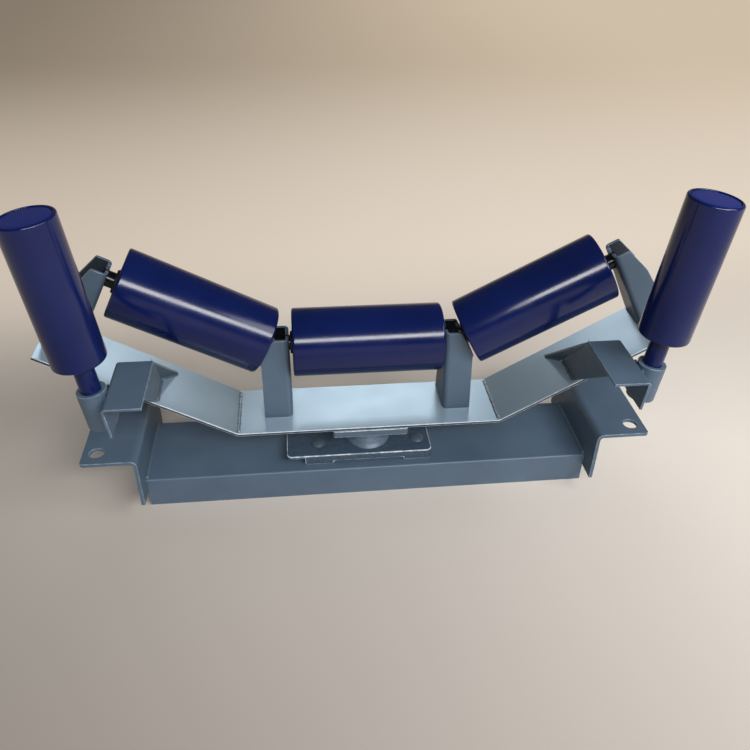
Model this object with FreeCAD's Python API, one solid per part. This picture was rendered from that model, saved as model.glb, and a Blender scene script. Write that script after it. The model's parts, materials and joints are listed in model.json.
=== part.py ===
"""Self-aligning training idler for a 500 mm troughed belt, in millimetres.

The origin is on the swivel axis, in the plane of the undersides of the two feet, where they stand on
the conveyor's side rails. +X runs along the rollers to the right, +Y runs back along the belt and
+Z is up. The right half is modelled, and the left half is its mirror image.
"""
import FreeCAD, Part
import math
import os

Vector = FreeCAD.Vector
X_AXIS = Vector(1, 0, 0)
Y_AXIS = Vector(0, 1, 0)
Z_AXIS = Vector(0, 0, 1)

# Trough rollers
roller_diameter = 89.0
roller_length = 194.0
roller_wall = 4.0
roller_edge_radius = 3.0
trough_angle = 28.0
roller_gap = 14.0           # between the shells' top corners, centre roller to wing roller
wing_roller_lift = 4.8      # wing roller's inner end above the centre roller's axis
roller_rise = 96.5          # centre roller's axis above the cross plate
roller_row_offset = 16.0    # roller axes behind the swivel axis

# Roller shafts, bearings and end housings
shaft_diameter = 20.0
shaft_waist_diameter = 24.0
shaft_flat_width = 14.0
slot_clearance = 0.1
inner_end_gap = 4.5         # roller end to centre bracket
outer_end_gap = 12.0        # roller end to end bracket
shaft_overrun = 2.0
bearing_outer_diameter = 47.0
bearing_width = 14.0
bearing_ring = 3.3
bearing_inset = 5.0
shield_clearance = 0.3
housing_wall = 3.0
housing_lip_length = 12.0
housing_cone = 5.0
housing_shoulder = 3.5
seal_collar = 3.0           # how far the seal stands out of the roller's end
seal_collar_wall = 4.0
seal_clearance = 0.6

# Base beam and feet
beam_length = 592.0
beam_width = 123.0
beam_height = 44.0
beam_wall = 6.0
beam_corner_radius = 3.0
beam_inner_radius = 5.0
beam_drop = 94.0            # beam's lower edge below the mounting plane
foot_thickness = 5.0
foot_reach = 69.5           # from the beam's end to the foot's outer edge
foot_length = 176.0
foot_leg_drop = 69.0
foot_bend_radius = 4.0
foot_corner_radius = 5.0
mount_hole_diameter = 18.0
mount_hole_edge = 18.0      # hole centre to the foot's outer edge
mount_hole_spacing_y = 133.0

# Pivot base casting, its bolts and the swivel bearing
casting_left_reach = 112.0
casting_right_reach = 84.0
casting_width = 98.0
casting_thickness = 10.5
casting_corner_radius = 7.0
lug_height = 4.0
lug_length = 39.0
lug_width = 35.0
lug_inset_left = 24.0
lug_corner_radius = 3.0
tongue_thickness = 4.0      # casting beyond its left lugs
boss_diameter = 56.0
boss_height = 29.5
swivel_gap = 0.4
casting_bolt_left = 69.5
casting_bolt_right = 66.5
casting_bolt_spacing_y = 44.0
casting_bolt_diameter = 8.0
casting_bolt_head_diameter = 19.5
casting_bolt_head_height = 4.5
casting_bolt_neck = 8.4     # square neck under the domed head
casting_bolt_neck_depth = 5.0
casting_nut_flats = 13.0
casting_nut_height = 6.5
casting_washer_diameter = 16.0
casting_washer_thickness = 1.6
bolt_hole_clearance = 0.5
neck_clearance = 0.2
bolt_thread_overrun = 3.0
king_pin_diameter = 24.0
king_pin_thread_diameter = 20.0
king_pin_nut_flats = 30.0
king_pin_nut_height = 14.0
king_pin_washer_diameter = 40.0
king_pin_washer_thickness = 3.0
king_pin_web_clearance = 1.5
bush_wall = 3.0
bush_clearance = 0.05
race_outer_diameter = 43.0
race_thickness = 3.0
race_clearance = 0.5
ball_diameter = 6.0
ball_count = 10
ball_gap = 0.1

# Swivel frame
plate_width = 97.0
plate_thickness = 4.0
plate_fold_x = 172.5
plate_bend_radius = 5.0
wing_slope = 30.0
wing_length = 263.0
top_plate_length = 100.0
top_plate_width = 100.0
top_plate_thickness = 10.0
top_plate_corner_radius = 4.0
bracket_base_width = 65.0
bracket_top_width = 39.0
bracket_wall = 4.0
bracket_bend_radius = 7.0
bracket_rise = 14.0         # bracket tops above the roller axes
centre_bracket_depth = 37.0
bracket_corner_radius = 5.0
end_bracket_depth = 40.0
end_bracket_top_depth = 20.0
end_bracket_shoulder_depth = 32.0
end_bracket_shoulder = 20.0 # where the taper ends, below the roller axis
seat_tail = 26.0            # shaft seat below the wing roller's axis
seat_head = 11.0            # and above it

# Guide arms
arm_inner_x = 250.7
arm_width = 42.0
arm_length = 89.5
arm_thickness = 3.0
arm_bend_radius = 1.5
arm_flange_depth = 37.0     # along the flange, which leans with the guide roller
arm_rise = 151.0            # arm's top above the flat of the cross plate
arm_setout = 49.0           # wing's front edge to the arm's rear edge
arm_corner_radius = 4.0
web_base_margin = 6.0
web_base_length = 47.0
web_top_length = 70.0
brace_thickness = 3.0
web_base_x = 268.0          # web's inner face where it stands on the wing
brace_inset = 17.0          # brace tip towards the centre, from there
brace_setback = 16.5        # brace tip in front of the wing's rear edge

# Guide rollers, spindles and sockets
guide_lean = 6.3
guide_diameter = 57.0
guide_length = 158.0
guide_wall = 3.5
guide_edge_radius = 2.5
guide_cap_thickness = 4.0
guide_cap_recess = 4.0
guide_bearing_outer_diameter = 40.0
guide_bearing_width = 12.0
guide_bearing_bore = 17.0
guide_bearing_ring = 3.8
guide_bearing_inset = 5.0
guide_cap_gap = 13.0        # between the top cap and the upper bearing
guide_cover_thickness = 4.0
guide_cover_clearance = 0.8
guide_housing_shoulder = 3.0
spindle_diameter = 22.0
spindle_gap = 37.0          # socket rim to the guide roller's lower end
spindle_tail_diameter = 12.0
spindle_tail_overrun = 1.5
spindle_nut_flats = 18.0
spindle_nut_height = 10.0
spindle_washer_diameter = 24.0
spindle_washer_thickness = 2.5
socket_diameter = 32.0
socket_length = 45.0
socket_floor = 5.0
socket_rise = 0.5           # socket's rim above the arm's top, along the socket
socket_seat = 0.8           # how deep the socket is let into the flange's outer face
socket_setback = 38.0       # axis behind the arm's front edge
socket_clearance = 0.05
recess_clearance = 1.0      # round the washer, inside the socket's lower end
tail_clearance = 0.2

# Places worked out from the sizes above
trough_sin = math.sin(math.radians(trough_angle))
trough_cos = math.cos(math.radians(trough_angle))
slope_sin = math.sin(math.radians(wing_slope))
slope_cos = math.cos(math.radians(wing_slope))
lean_sin = math.sin(math.radians(guide_lean))
lean_cos = math.cos(math.radians(guide_lean))
beam_top = beam_height - beam_drop
casting_top = beam_top + lug_height + casting_thickness
boss_top = casting_top + boss_height
top_plate_under = boss_top + swivel_gap
plate_under = top_plate_under + top_plate_thickness
plate_top = plate_under + plate_thickness
plate_front = -plate_width / 2
roller_radius = roller_diameter / 2
roller_axis = plate_top + roller_rise
wing_inner_x = roller_length / 2 + roller_gap + roller_radius * trough_sin
wing_inner_z = roller_axis + wing_roller_lift
arm_top = plate_top + arm_rise
arm_outer_x = arm_inner_x + arm_width
arm_back = plate_front - arm_setout
arm_front = arm_back - arm_length
bracket_taper = (bracket_base_width - bracket_top_width) / 2 / (roller_rise + bracket_rise)
socket_recess = spindle_washer_thickness + spindle_nut_height + spindle_tail_overrun
floor_top = socket_recess + socket_floor
guide_bearing_span = (guide_length - guide_cap_recess - guide_cap_thickness - guide_cap_gap
                      - guide_bearing_width - guide_bearing_inset)
FAR = 2000.0                # longer than the object, for cutting away half spaces


def rounded_wire(corners, to_point):
    """Closed wire through (u, v, radius) corners, each rounded by an arc tangent to both its sides."""
    starts, edges = [], []
    count = len(corners)
    for index, (u, v, radius) in enumerate(corners):
        here = Vector(u, v, 0)
        before = Vector(*corners[index - 1][:2], 0)
        after = Vector(*corners[(index + 1) % count][:2], 0)
        back = (before - here).normalize()
        ahead = (after - here).normalize()
        half_angle = back.getAngle(ahead) / 2
        if radius <= 0:
            starts.append((here, here, None))
            continue
        tangent = radius / math.tan(half_angle)
        middle = (back + ahead).normalize()
        nearest = middle * (radius / math.sin(half_angle) - radius)
        starts.append((here + back * tangent, here + ahead * tangent, here + nearest))
    for index, (arc_start, arc_end, arc_middle) in enumerate(starts):
        if arc_middle is not None:
            points = [to_point(p.x, p.y) for p in (arc_start, arc_middle, arc_end)]
            edges.append(Part.Arc(*points).toShape())
        line_start = to_point(arc_end.x, arc_end.y)
        following = starts[(index + 1) % count][0]
        line_end = to_point(following.x, following.y)
        if line_start.distanceToPoint(line_end) > 1e-6:
            edges.append(Part.makeLine(line_start, line_end))
    return Part.Wire(edges)


def plate_xz(corners, y_low, y_high):
    """Solid with its outline in the XZ plane, carried from y_low to y_high."""
    wire = rounded_wire(corners, lambda u, v: Vector(u, y_low, v))
    return Part.Face(wire).extrude(Vector(0, y_high - y_low, 0))


def plate_yz(corners, x_low, x_high):
    """Solid with its outline in the YZ plane, carried from x_low to x_high."""
    wire = rounded_wire(corners, lambda u, v: Vector(x_low, u, v))
    return Part.Face(wire).extrude(Vector(x_high - x_low, 0, 0))


def plate_xy(corners, z_low, z_high):
    """Solid with its outline in the XY plane, carried from z_low to z_high."""
    wire = rounded_wire(corners, lambda u, v: Vector(u, v, z_low))
    return Part.Face(wire).extrude(Vector(0, 0, z_high - z_low))


def block(x_low, x_high, y_low, y_high, z_low, z_high):
    """Plain rectangular solid between two corners."""
    return Part.makeBox(x_high - x_low, y_high - y_low, z_high - z_low, Vector(x_low, y_low, z_low))


def turned(corners, axis):
    """Solid of revolution: (along, radius, rounding) corners turned about the X or the Z axis."""
    if axis is X_AXIS:
        wire = rounded_wire(corners, lambda along, radius: Vector(along, 0, radius))
    else:
        wire = rounded_wire(corners, lambda along, radius: Vector(radius, 0, along))
    return Part.Face(wire).revolve(Vector(0, 0, 0), axis, 360)


def ring(inner, outer, low, high, axis):
    """Plain turned ring between two radii and two stations along its axis."""
    corners = [(low, inner, 0), (low, outer, 0), (high, outer, 0), (high, inner, 0)]
    return turned(corners, axis)


def rod(radius, low, high):
    """Upright cylinder on the Z axis."""
    return Part.makeCylinder(radius, high - low, Vector(0, 0, low), Z_AXIS)


def hexagon(across_flats, low, high):
    """Upright hexagonal prism on the Z axis."""
    corner_radius = across_flats / math.sqrt(3)
    angles = [math.radians(60 * step) for step in range(6)]
    corners = [(corner_radius * math.cos(a), corner_radius * math.sin(a), 0) for a in angles]
    return plate_xy(corners, low, high)


def hex_nut(across_flats, bore, low, high):
    """Hexagonal nut on the Z axis."""
    return hexagon(across_flats, low, high).cut(rod(bore / 2, low, high))


def moved(shape, x, y, z):
    """Copy of a shape, shifted."""
    copy = shape.copy()
    copy.translate(Vector(x, y, z))
    return copy


def placed(shape, placement):
    """Copy of a shape, carried from its own frame into the object's frame."""
    copy = shape.copy()
    copy.Placement = placement.multiply(copy.Placement)
    return copy


def mirrored(shape):
    """The left-hand twin of a right-hand shape."""
    return shape.mirror(Vector(0, 0, 0), X_AXIS)


# Frames of the right half: on the wing's upper face, on the wing roller's axis and on the guide axis
wing_frame = FreeCAD.Placement(Vector(plate_fold_x, 0, plate_top), FreeCAD.Rotation(Y_AXIS, -wing_slope))
wing_roller_frame = FreeCAD.Placement(
    Vector(wing_inner_x, roller_row_offset, wing_inner_z), FreeCAD.Rotation(Y_AXIS, -trough_angle))
centre_roller_frame = FreeCAD.Placement(
    Vector(-roller_length / 2, roller_row_offset, roller_axis), FreeCAD.Rotation())
guide_lean_rotation = FreeCAD.Rotation(Y_AXIS, guide_lean)
guide_at_arm = Vector(arm_outer_x + (socket_diameter / 2 - socket_seat) / lean_cos,
                      arm_front + socket_setback, arm_top)
guide_frame = FreeCAD.Placement(
    guide_at_arm + guide_lean_rotation.multVec(Vector(0, 0, socket_rise - socket_length)),
    guide_lean_rotation)


def wing_surface(x):
    """Height of the right wing's upper face at a given x."""
    return plate_top + (x - plate_fold_x) * slope_sin / slope_cos


def below_wing():
    """Everything under the right wing's upper face, to trim what is welded on it."""
    return placed(block(-FAR, FAR, -FAR, FAR, -FAR, 0), wing_frame)


def casting_bolt_places():
    """Centres of the four bolts through the pivot base casting."""
    half = casting_bolt_spacing_y / 2
    return [(x, y) for x in (-casting_bolt_left, casting_bolt_right) for y in (-half, half)]


def at_bolts(shape):
    """One copy of an upright shape at each casting bolt."""
    return [moved(shape, x, y, 0) for x, y in casting_bolt_places()]


def make_base_beam():
    """Channel with its web on top, open below, drilled for the casting's bolts and the king pin."""
    half = beam_width / 2
    inside = half - beam_wall
    low = -beam_drop
    section = [
        (-half, low, 0), (-half, beam_top, beam_corner_radius), (half, beam_top, beam_corner_radius),
        (half, low, 0), (inside, low, 0), (inside, beam_top - beam_wall, beam_inner_radius),
        (-inside, beam_top - beam_wall, beam_inner_radius), (-inside, low, 0)]
    beam = plate_yz(section, -beam_length / 2, beam_length / 2)
    bolt_hole = rod(casting_bolt_diameter / 2 + bolt_hole_clearance, -beam_drop, beam_top)
    pin_hole = rod(king_pin_diameter / 2 + king_pin_web_clearance, -beam_drop, beam_top)
    return beam.cut(at_bolts(bolt_hole) + [pin_hole])


def make_foot():
    """Right foot: a plate folded to an angle, its leg against the beam's end and its flange outwards."""
    inner = beam_length / 2
    outer = inner + foot_reach
    half = foot_length / 2
    section = [
        (inner, -foot_leg_drop, 0), (inner, foot_thickness, foot_bend_radius + foot_thickness),
        (outer, foot_thickness, 0), (outer, 0, 0),
        (inner + foot_thickness, 0, foot_bend_radius), (inner + foot_thickness, -foot_leg_drop, 0)]
    outline = [
        (inner, -half, 0), (outer, -half, foot_corner_radius), (outer, half, foot_corner_radius),
        (inner, half, 0)]
    foot = plate_xz(section, -half, half).common(plate_xy(outline, -foot_leg_drop, foot_thickness))
    hole = rod(mount_hole_diameter / 2, 0, foot_thickness)
    hole_x = outer - mount_hole_edge
    holes = [moved(hole, hole_x, side * mount_hole_spacing_y / 2, 0) for side in (-1, 1)]
    return foot.cut(holes)


def make_pivot_base_casting():
    """Cast plate on four lugs, with a round boss bored for the bush and the thrust bearing."""
    half = casting_width / 2
    radius = casting_corner_radius
    outline = [
        (-casting_left_reach, -half, radius), (casting_right_reach, -half, radius),
        (casting_right_reach, half, radius), (-casting_left_reach, half, radius)]
    plate_low = beam_top + lug_height
    casting = plate_xy(outline, plate_low, casting_top)
    lug_starts = (-casting_left_reach + lug_inset_left, casting_right_reach - lug_length)
    for start in lug_starts:
        for low in (-half, half - lug_width):
            end = start + lug_length
            profile = [(start, beam_top, lug_corner_radius), (end, beam_top, lug_corner_radius),
                       (end, plate_low, 0), (start, plate_low, 0)]
            lug = plate_xz(profile, low, low + lug_width)
            casting = casting.fuse(lug.common(plate_xy(outline, beam_top, plate_low)))
    casting = casting.fuse(rod(boss_diameter / 2, plate_low, boss_top)).removeSplitter()
    bush_radius = king_pin_diameter / 2 + bush_clearance + bush_wall
    bush_bore = rod(bush_radius, plate_low, boss_top)
    race_seat = rod(race_outer_diameter / 2, thrust_floor(), boss_top)
    bolt_hole = rod(casting_bolt_diameter / 2 + bolt_hole_clearance, beam_top, casting_top)
    half_neck = casting_bolt_neck / 2 + neck_clearance
    neck_hole = block(-half_neck, half_neck, -half_neck, half_neck,
                      casting_top - casting_bolt_neck_depth - neck_clearance, casting_top)
    under_tongue = block(-casting_left_reach, lug_starts[0], -half, half,
                         plate_low, casting_top - tongue_thickness)
    return casting.cut([bush_bore, race_seat, under_tongue] + at_bolts(bolt_hole.fuse(neck_hole)))


def thrust_floor():
    """Height of the boss's floor under the thrust bearing."""
    return top_plate_under - 2 * race_thickness - ball_diameter - ball_gap


def make_casting_fasteners():
    """Dome-headed bolts of the pivot base casting, with washers and nuts under the beam's web, in fours."""
    washer_top = beam_top - beam_wall
    nut_top = washer_top - casting_washer_thickness
    nut_low = nut_top - casting_nut_height
    shank = rod(casting_bolt_diameter / 2, nut_low - bolt_thread_overrun, casting_top)
    half_neck = casting_bolt_neck / 2
    neck = block(-half_neck, half_neck, -half_neck, half_neck,
                 casting_top - casting_bolt_neck_depth, casting_top)
    head_radius = casting_bolt_head_diameter / 2
    head_top = casting_top + casting_bolt_head_height
    dome_radius = (head_radius ** 2 + casting_bolt_head_height ** 2) / (2 * casting_bolt_head_height)
    dome = Part.makeSphere(dome_radius, Vector(0, 0, head_top - dome_radius))
    head = dome.common(block(-dome_radius, dome_radius, -dome_radius, dome_radius, casting_top, head_top))
    bolt = shank.fuse([neck, head]).removeSplitter()
    washer = ring(casting_bolt_diameter / 2 + bolt_hole_clearance, casting_washer_diameter / 2,
                  nut_top, washer_top, Z_AXIS)
    nut = hex_nut(casting_nut_flats, casting_bolt_diameter, nut_low, nut_top)
    return at_bolts(bolt), at_bolts(washer), at_bolts(nut)


def make_pivot_bush():
    """Plain bush in the casting's boss, under the thrust bearing."""
    bore = king_pin_diameter / 2 + bush_clearance
    return ring(bore, bore + bush_wall, beam_top + lug_height, thrust_floor(), Z_AXIS)


def make_thrust_bearing():
    """Lower race, upper race and balls of the bearing that carries the swivel frame."""
    bore = king_pin_diameter / 2 + race_clearance
    outer = race_outer_diameter / 2
    floor = thrust_floor()
    lower = ring(bore, outer, floor, floor + race_thickness, Z_AXIS)
    upper = ring(king_pin_diameter / 2, outer - race_clearance, top_plate_under - race_thickness,
                 top_plate_under, Z_AXIS)
    ball_path = (bore + outer) / 2
    ball_height = top_plate_under - race_thickness - ball_diameter / 2
    balls = []
    for step in range(ball_count):
        angle = 2 * math.pi * step / ball_count
        centre = Vector(ball_path * math.cos(angle), ball_path * math.sin(angle), ball_height)
        balls.append(Part.makeSphere(ball_diameter / 2, centre))
    return lower, upper, balls


def make_king_pin():
    """Pin set in the pivot top plate, with a threaded lower end."""
    washer_top = beam_top - beam_wall - swivel_gap
    thread_low = washer_top - king_pin_washer_thickness - king_pin_nut_height - bolt_thread_overrun
    pin = rod(king_pin_diameter / 2, washer_top, plate_under)
    return pin.fuse(rod(king_pin_thread_diameter / 2, thread_low, washer_top))


def make_king_pin_fasteners():
    """Washer and nut that keep the king pin from lifting out of the beam."""
    washer_top = beam_top - beam_wall - swivel_gap
    nut_top = washer_top - king_pin_washer_thickness
    washer = ring(king_pin_thread_diameter / 2, king_pin_washer_diameter / 2, nut_top, washer_top, Z_AXIS)
    nut = hex_nut(king_pin_nut_flats, king_pin_thread_diameter, nut_top - king_pin_nut_height, nut_top)
    return washer, nut


def make_cross_plate():
    """Plate folded up at two lines: a flat centre and a sloping wing on each side."""
    top_end_x = plate_fold_x + wing_length * slope_cos
    top_end_z = plate_top + wing_length * slope_sin
    under_fold = plate_fold_x + plate_thickness * math.tan(math.radians(wing_slope / 2))
    under_end_x = top_end_x + plate_thickness * slope_sin
    under_end_z = top_end_z - plate_thickness * slope_cos
    inner_radius = plate_bend_radius
    outer_radius = plate_bend_radius + plate_thickness
    right = [
        (under_fold, plate_under, outer_radius), (under_end_x, under_end_z, 0),
        (top_end_x, top_end_z, 0), (plate_fold_x, plate_top, inner_radius)]
    left = [(-x, z, radius) for x, z, radius in reversed(right)]
    return plate_xz(right + left, -plate_width / 2, plate_width / 2)


def make_pivot_top_plate():
    """Thick plate welded under the cross plate, bored for the king pin."""
    half_x = top_plate_length / 2
    half_y = top_plate_width / 2
    radius = top_plate_corner_radius
    outline = [(-half_x, -half_y, radius), (half_x, -half_y, radius),
               (half_x, half_y, radius), (-half_x, half_y, radius)]
    plate = plate_xy(outline, top_plate_under, plate_under)
    return plate.cut(rod(king_pin_diameter / 2, top_plate_under, plate_under))


def bracket_half_width(below_top):
    """Half the width of a bracket, measured over its flanges, at a distance below its top."""
    return bracket_top_width / 2 + below_top * bracket_taper


def u_bracket(outline, web, deep, low, slot_low, high):
    """Pressed U bracket: its web at x = web, flanges out to x = deep that lean together towards the top."""
    base = bracket_half_width(high - low)
    top = bracket_half_width(0)
    trapezium = [(-base, low, 0), (base, low, 0), (top, high, 0), (-top, high, 0)]
    solid = plate_xz(outline, -base, base).common(plate_yz(trapezium, web, deep))
    bends = []
    for edge in solid.Edges:
        upright = edge.BoundBox.ZLength > (high - low) * 0.9
        if upright and abs(edge.CenterOfMass.x - web) < 0.01:
            bends.append(edge)
    solid = solid.makeFillet(bracket_bend_radius, bends)
    wall = bracket_wall * math.hypot(1, bracket_taper)
    inside = [(wall - base, low, 0), (base - wall, low, 0), (top - wall, high, 0), (wall - top, high, 0)]
    half_slot = shaft_flat_width / 2 + slot_clearance
    hollow = plate_yz(inside, web + bracket_wall, deep)
    slot = block(web, web + bracket_wall, -half_slot, half_slot, slot_low, high)
    return solid.cut([hollow, slot])


def make_centre_bracket():
    """Right centre bracket: its web beside the centre roller, its flanges cut away for the wing roller."""
    web = roller_length / 2 + inner_end_gap
    deep = web + centre_bracket_depth
    top = roller_axis + bracket_rise
    face_x = wing_inner_x - inner_end_gap * trough_cos
    face_z = wing_inner_z - inner_end_gap * trough_sin
    knee = face_z + (face_x - deep) * trough_cos / trough_sin
    top_deep = face_x - (top - face_z) * trough_sin / trough_cos
    radius = bracket_corner_radius
    outline = [(web, plate_top, 0), (deep, plate_top, 0), (deep, knee, 2 * radius),
               (top_deep, top, radius), (web, top, 0)]
    bracket = u_bracket(outline, web, deep, plate_top, roller_axis - shaft_diameter / 2, top)
    return moved(bracket, 0, roller_row_offset, 0)


def make_shaft_seat(bracket):
    """Slotted plate inside the right centre bracket that holds the wing roller's inner shaft end."""
    half_slot = shaft_flat_width / 2 + slot_clearance
    low = -inner_end_gap - bracket_wall
    inset = bracket_wall / 2
    below_top = roller_axis + bracket_rise - wing_inner_z
    base = bracket_half_width(below_top + seat_tail) - inset
    top = bracket_half_width(below_top - seat_head) - inset
    outline = [(-base, -seat_tail, 0), (base, -seat_tail, 0), (top, seat_head, 0), (-top, seat_head, 0)]
    seat = plate_yz(outline, low, -inner_end_gap)
    slot = block(low, -inner_end_gap, -half_slot, half_slot, -shaft_diameter / 2, seat_head)
    return placed(seat.cut(slot), wing_roller_frame).cut(bracket)


def make_end_bracket():
    """Right end bracket: square to the wing roller's axis, standing on the wing beyond the roller's end."""
    web = roller_length + outer_end_gap
    deep = web + end_bracket_depth
    low = -FAR / 10
    foot = plate_top - roller_axis
    radius = bracket_corner_radius
    outline = [(web, low, 0), (deep, low, 0), (deep, foot, 0),
               (web + end_bracket_shoulder_depth, -end_bracket_shoulder, 2 * radius),
               (web + end_bracket_top_depth, bracket_rise, radius / 2), (web, bracket_rise, 0)]
    bracket = u_bracket(outline, web, deep, low, -shaft_diameter / 2, bracket_rise)
    return placed(bracket, wing_roller_frame).cut(below_wing())


def make_guide_arm():
    """Right guide arm: a plate that reaches forward, its outer edge folded down along the socket."""
    under = arm_top - arm_thickness
    low_x = arm_outer_x - arm_flange_depth * lean_sin
    low_z = arm_top - arm_flange_depth * lean_cos
    inner_bend_x = arm_outer_x - arm_thickness * (1 + lean_sin) / lean_cos
    section = [
        (arm_inner_x, under, 0), (arm_inner_x, arm_top, 0),
        (arm_outer_x, arm_top, arm_bend_radius + arm_thickness), (low_x, low_z, 0),
        (low_x - arm_thickness * lean_cos, low_z + arm_thickness * lean_sin, 0),
        (inner_bend_x, under, arm_bend_radius)]
    outline = [(arm_inner_x, arm_front, 0), (arm_outer_x, arm_front, 0),
               (arm_outer_x, arm_back, arm_corner_radius), (arm_inner_x, arm_back, 0)]
    arm = plate_xz(section, arm_front, arm_back).common(plate_xy(outline, low_z, arm_top))
    return arm.cut(placed(rod(socket_diameter / 2, 0, socket_length), guide_frame))


def web_base_back():
    """Rear end of the arm web's foot on the wing."""
    return plate_front + web_base_margin + web_base_length


def sheet_from(corners, thickness, towards):
    """Flat plate on three or four corners, thickened square to its face, on the side of the given vector."""
    face = Part.Face(Part.makePolygon(corners + corners[:1]))
    normal = (corners[1] - corners[0]).cross(corners[2] - corners[0]).normalize()
    if normal.dot(towards) < 0:
        normal = -normal
    return face.extrude(normal * thickness)


def beyond(start, end, factor):
    """Point on the line from start through end, at a factor of their distance."""
    return start + (end - start) * factor


def make_arm_web():
    """Right arm web: plate that leans forward and a little inwards, from the wing to the arm's underside."""
    under = arm_top - arm_thickness
    base_z = wing_surface(web_base_x)
    base_front = Vector(web_base_x, plate_front + web_base_margin, base_z)
    base_back = Vector(web_base_x, web_base_back(), base_z)
    top_front = Vector(arm_inner_x, arm_back - web_top_length, under)
    top_back = Vector(arm_inner_x, arm_back, under)
    corners = [beyond(base_front, top_front, 1.1), beyond(top_front, base_front, 1.2),
               beyond(top_back, base_back, 1.2), beyond(base_back, top_back, 1.1)]
    sheet = sheet_from(corners, arm_thickness, X_AXIS)
    above_arm = block(-FAR, FAR, -FAR, FAR, under, FAR)
    return sheet.cut([below_wing(), above_arm])


def make_arm_brace(web):
    """Right arm brace: three-cornered plate from the web's rear edge down to the wing."""
    inward = arm_thickness / 2
    tip_x = web_base_x - brace_inset
    head = Vector(arm_inner_x + inward, arm_back, arm_top - arm_thickness)
    heel = Vector(web_base_x + inward, web_base_back(), wing_surface(web_base_x + inward))
    tip = Vector(tip_x, plate_width / 2 - brace_setback, wing_surface(tip_x))
    sheet = sheet_from([head, beyond(head, heel, 1.2), beyond(head, tip, 1.2)], brace_thickness, Y_AXIS)
    return sheet.cut([below_wing(), web])


def make_guide_socket():
    """Right guide socket: tube on the arm's flange, with a floor and a recess for the nut under it."""
    outer = socket_diameter / 2
    bore = spindle_diameter / 2 + socket_clearance
    tail_bore = spindle_tail_diameter / 2 + tail_clearance
    recess = spindle_washer_diameter / 2 + recess_clearance
    corners = [(0, recess, 0), (0, outer, 0), (socket_length, outer, 0), (socket_length, bore, 0),
               (floor_top, bore, 0), (floor_top, tail_bore, 0), (socket_recess, tail_bore, 0),
               (socket_recess, recess, 0)]
    return placed(turned(corners, Z_AXIS), guide_frame)


def shaft_with_flats(low_gap, high_gap):
    """Roller shaft along X: two flats at each end, from the bracket's face to the shaft's tip."""
    low_face = -low_gap
    high_face = roller_length + high_gap
    reach = bracket_wall + shaft_overrun
    waist_low = bearing_inset + bearing_width
    waist_high = roller_length - waist_low
    radius = shaft_diameter / 2
    waist = shaft_waist_diameter / 2
    corners = [
        (low_face - reach, 0, 0), (low_face - reach, radius, 0), (waist_low, radius, 0),
        (waist_low, waist, 0), (waist_high, waist, 0), (waist_high, radius, 0),
        (high_face + reach, radius, 0), (high_face + reach, 0, 0)]
    shaft = turned(corners, X_AXIS)
    half_flat = shaft_flat_width / 2
    cuts = []
    for low, high in ((low_face - reach, low_face), (high_face, high_face + reach)):
        cuts.append(block(low, high, half_flat, radius, -radius, radius))
        cuts.append(block(low, high, -radius, -half_flat, -radius, radius))
    return shaft.cut(cuts)


def both_ends(shape):
    """A roller end's part at x = 0 and its mirror image at the other end."""
    middle = Vector(roller_length / 2, 0, 0)
    return [shape, shape.mirror(middle, X_AXIS)]


def trough_roller_parts():
    """Shell, end housings, bearing rings and seals of one trough roller, along X from its end at 0."""
    radius = roller_radius
    bore = radius - roller_wall
    edge = roller_edge_radius
    shell = turned([(0, bore, 0), (0, radius, edge), (roller_length, radius, edge), (roller_length, bore, 0)],
                   X_AXIS)
    seat = bearing_outer_diameter / 2
    cup = seat + housing_wall
    bearing_end = bearing_inset + bearing_width
    cup_front = bearing_inset - housing_wall
    cone_front = bearing_inset + housing_lip_length - housing_wall
    lip_front = bearing_inset - housing_wall / 2
    lip_back = lip_front + housing_lip_length
    housing = turned([
        (cup_front, seat, 0), (cup_front, cup, 0), (cone_front, cup, 0),
        (cone_front - housing_cone, bore - housing_wall, 0), (lip_front, bore - housing_wall, 0),
        (lip_front, bore, 0), (lip_back, bore, 0), (cone_front + housing_wall, cup, 0),
        (bearing_end + housing_wall, cup, 0), (bearing_end + housing_wall, seat - housing_shoulder, 0),
        (bearing_end, seat - housing_shoulder, 0), (bearing_end, seat, 0)], X_AXIS)
    ring_radius = shaft_diameter / 2 + bearing_ring
    outer_ring = ring(ring_radius + shield_clearance, seat, bearing_inset, bearing_end, X_AXIS)
    inner_ring = ring(shaft_diameter / 2, ring_radius, bearing_inset, bearing_end, X_AXIS)
    seal_bore = shaft_diameter / 2 + seal_clearance
    collar = seal_bore + seal_collar_wall
    seal = turned([
        (-seal_collar, seal_bore, 0), (-seal_collar, collar, 0), (cup_front, collar, 0), (cup_front, seat, 0),
        (bearing_inset, seat, 0), (bearing_inset, ring_radius + shield_clearance, 0),
        (cup_front, ring_radius + shield_clearance, 0), (cup_front, seal_bore, 0)], X_AXIS)
    return {
        "shell": [shell],
        "end_housings": both_ends(housing),
        "bearing_outer_rings": both_ends(outer_ring),
        "seals": both_ends(seal)}, both_ends(inner_ring)


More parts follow.
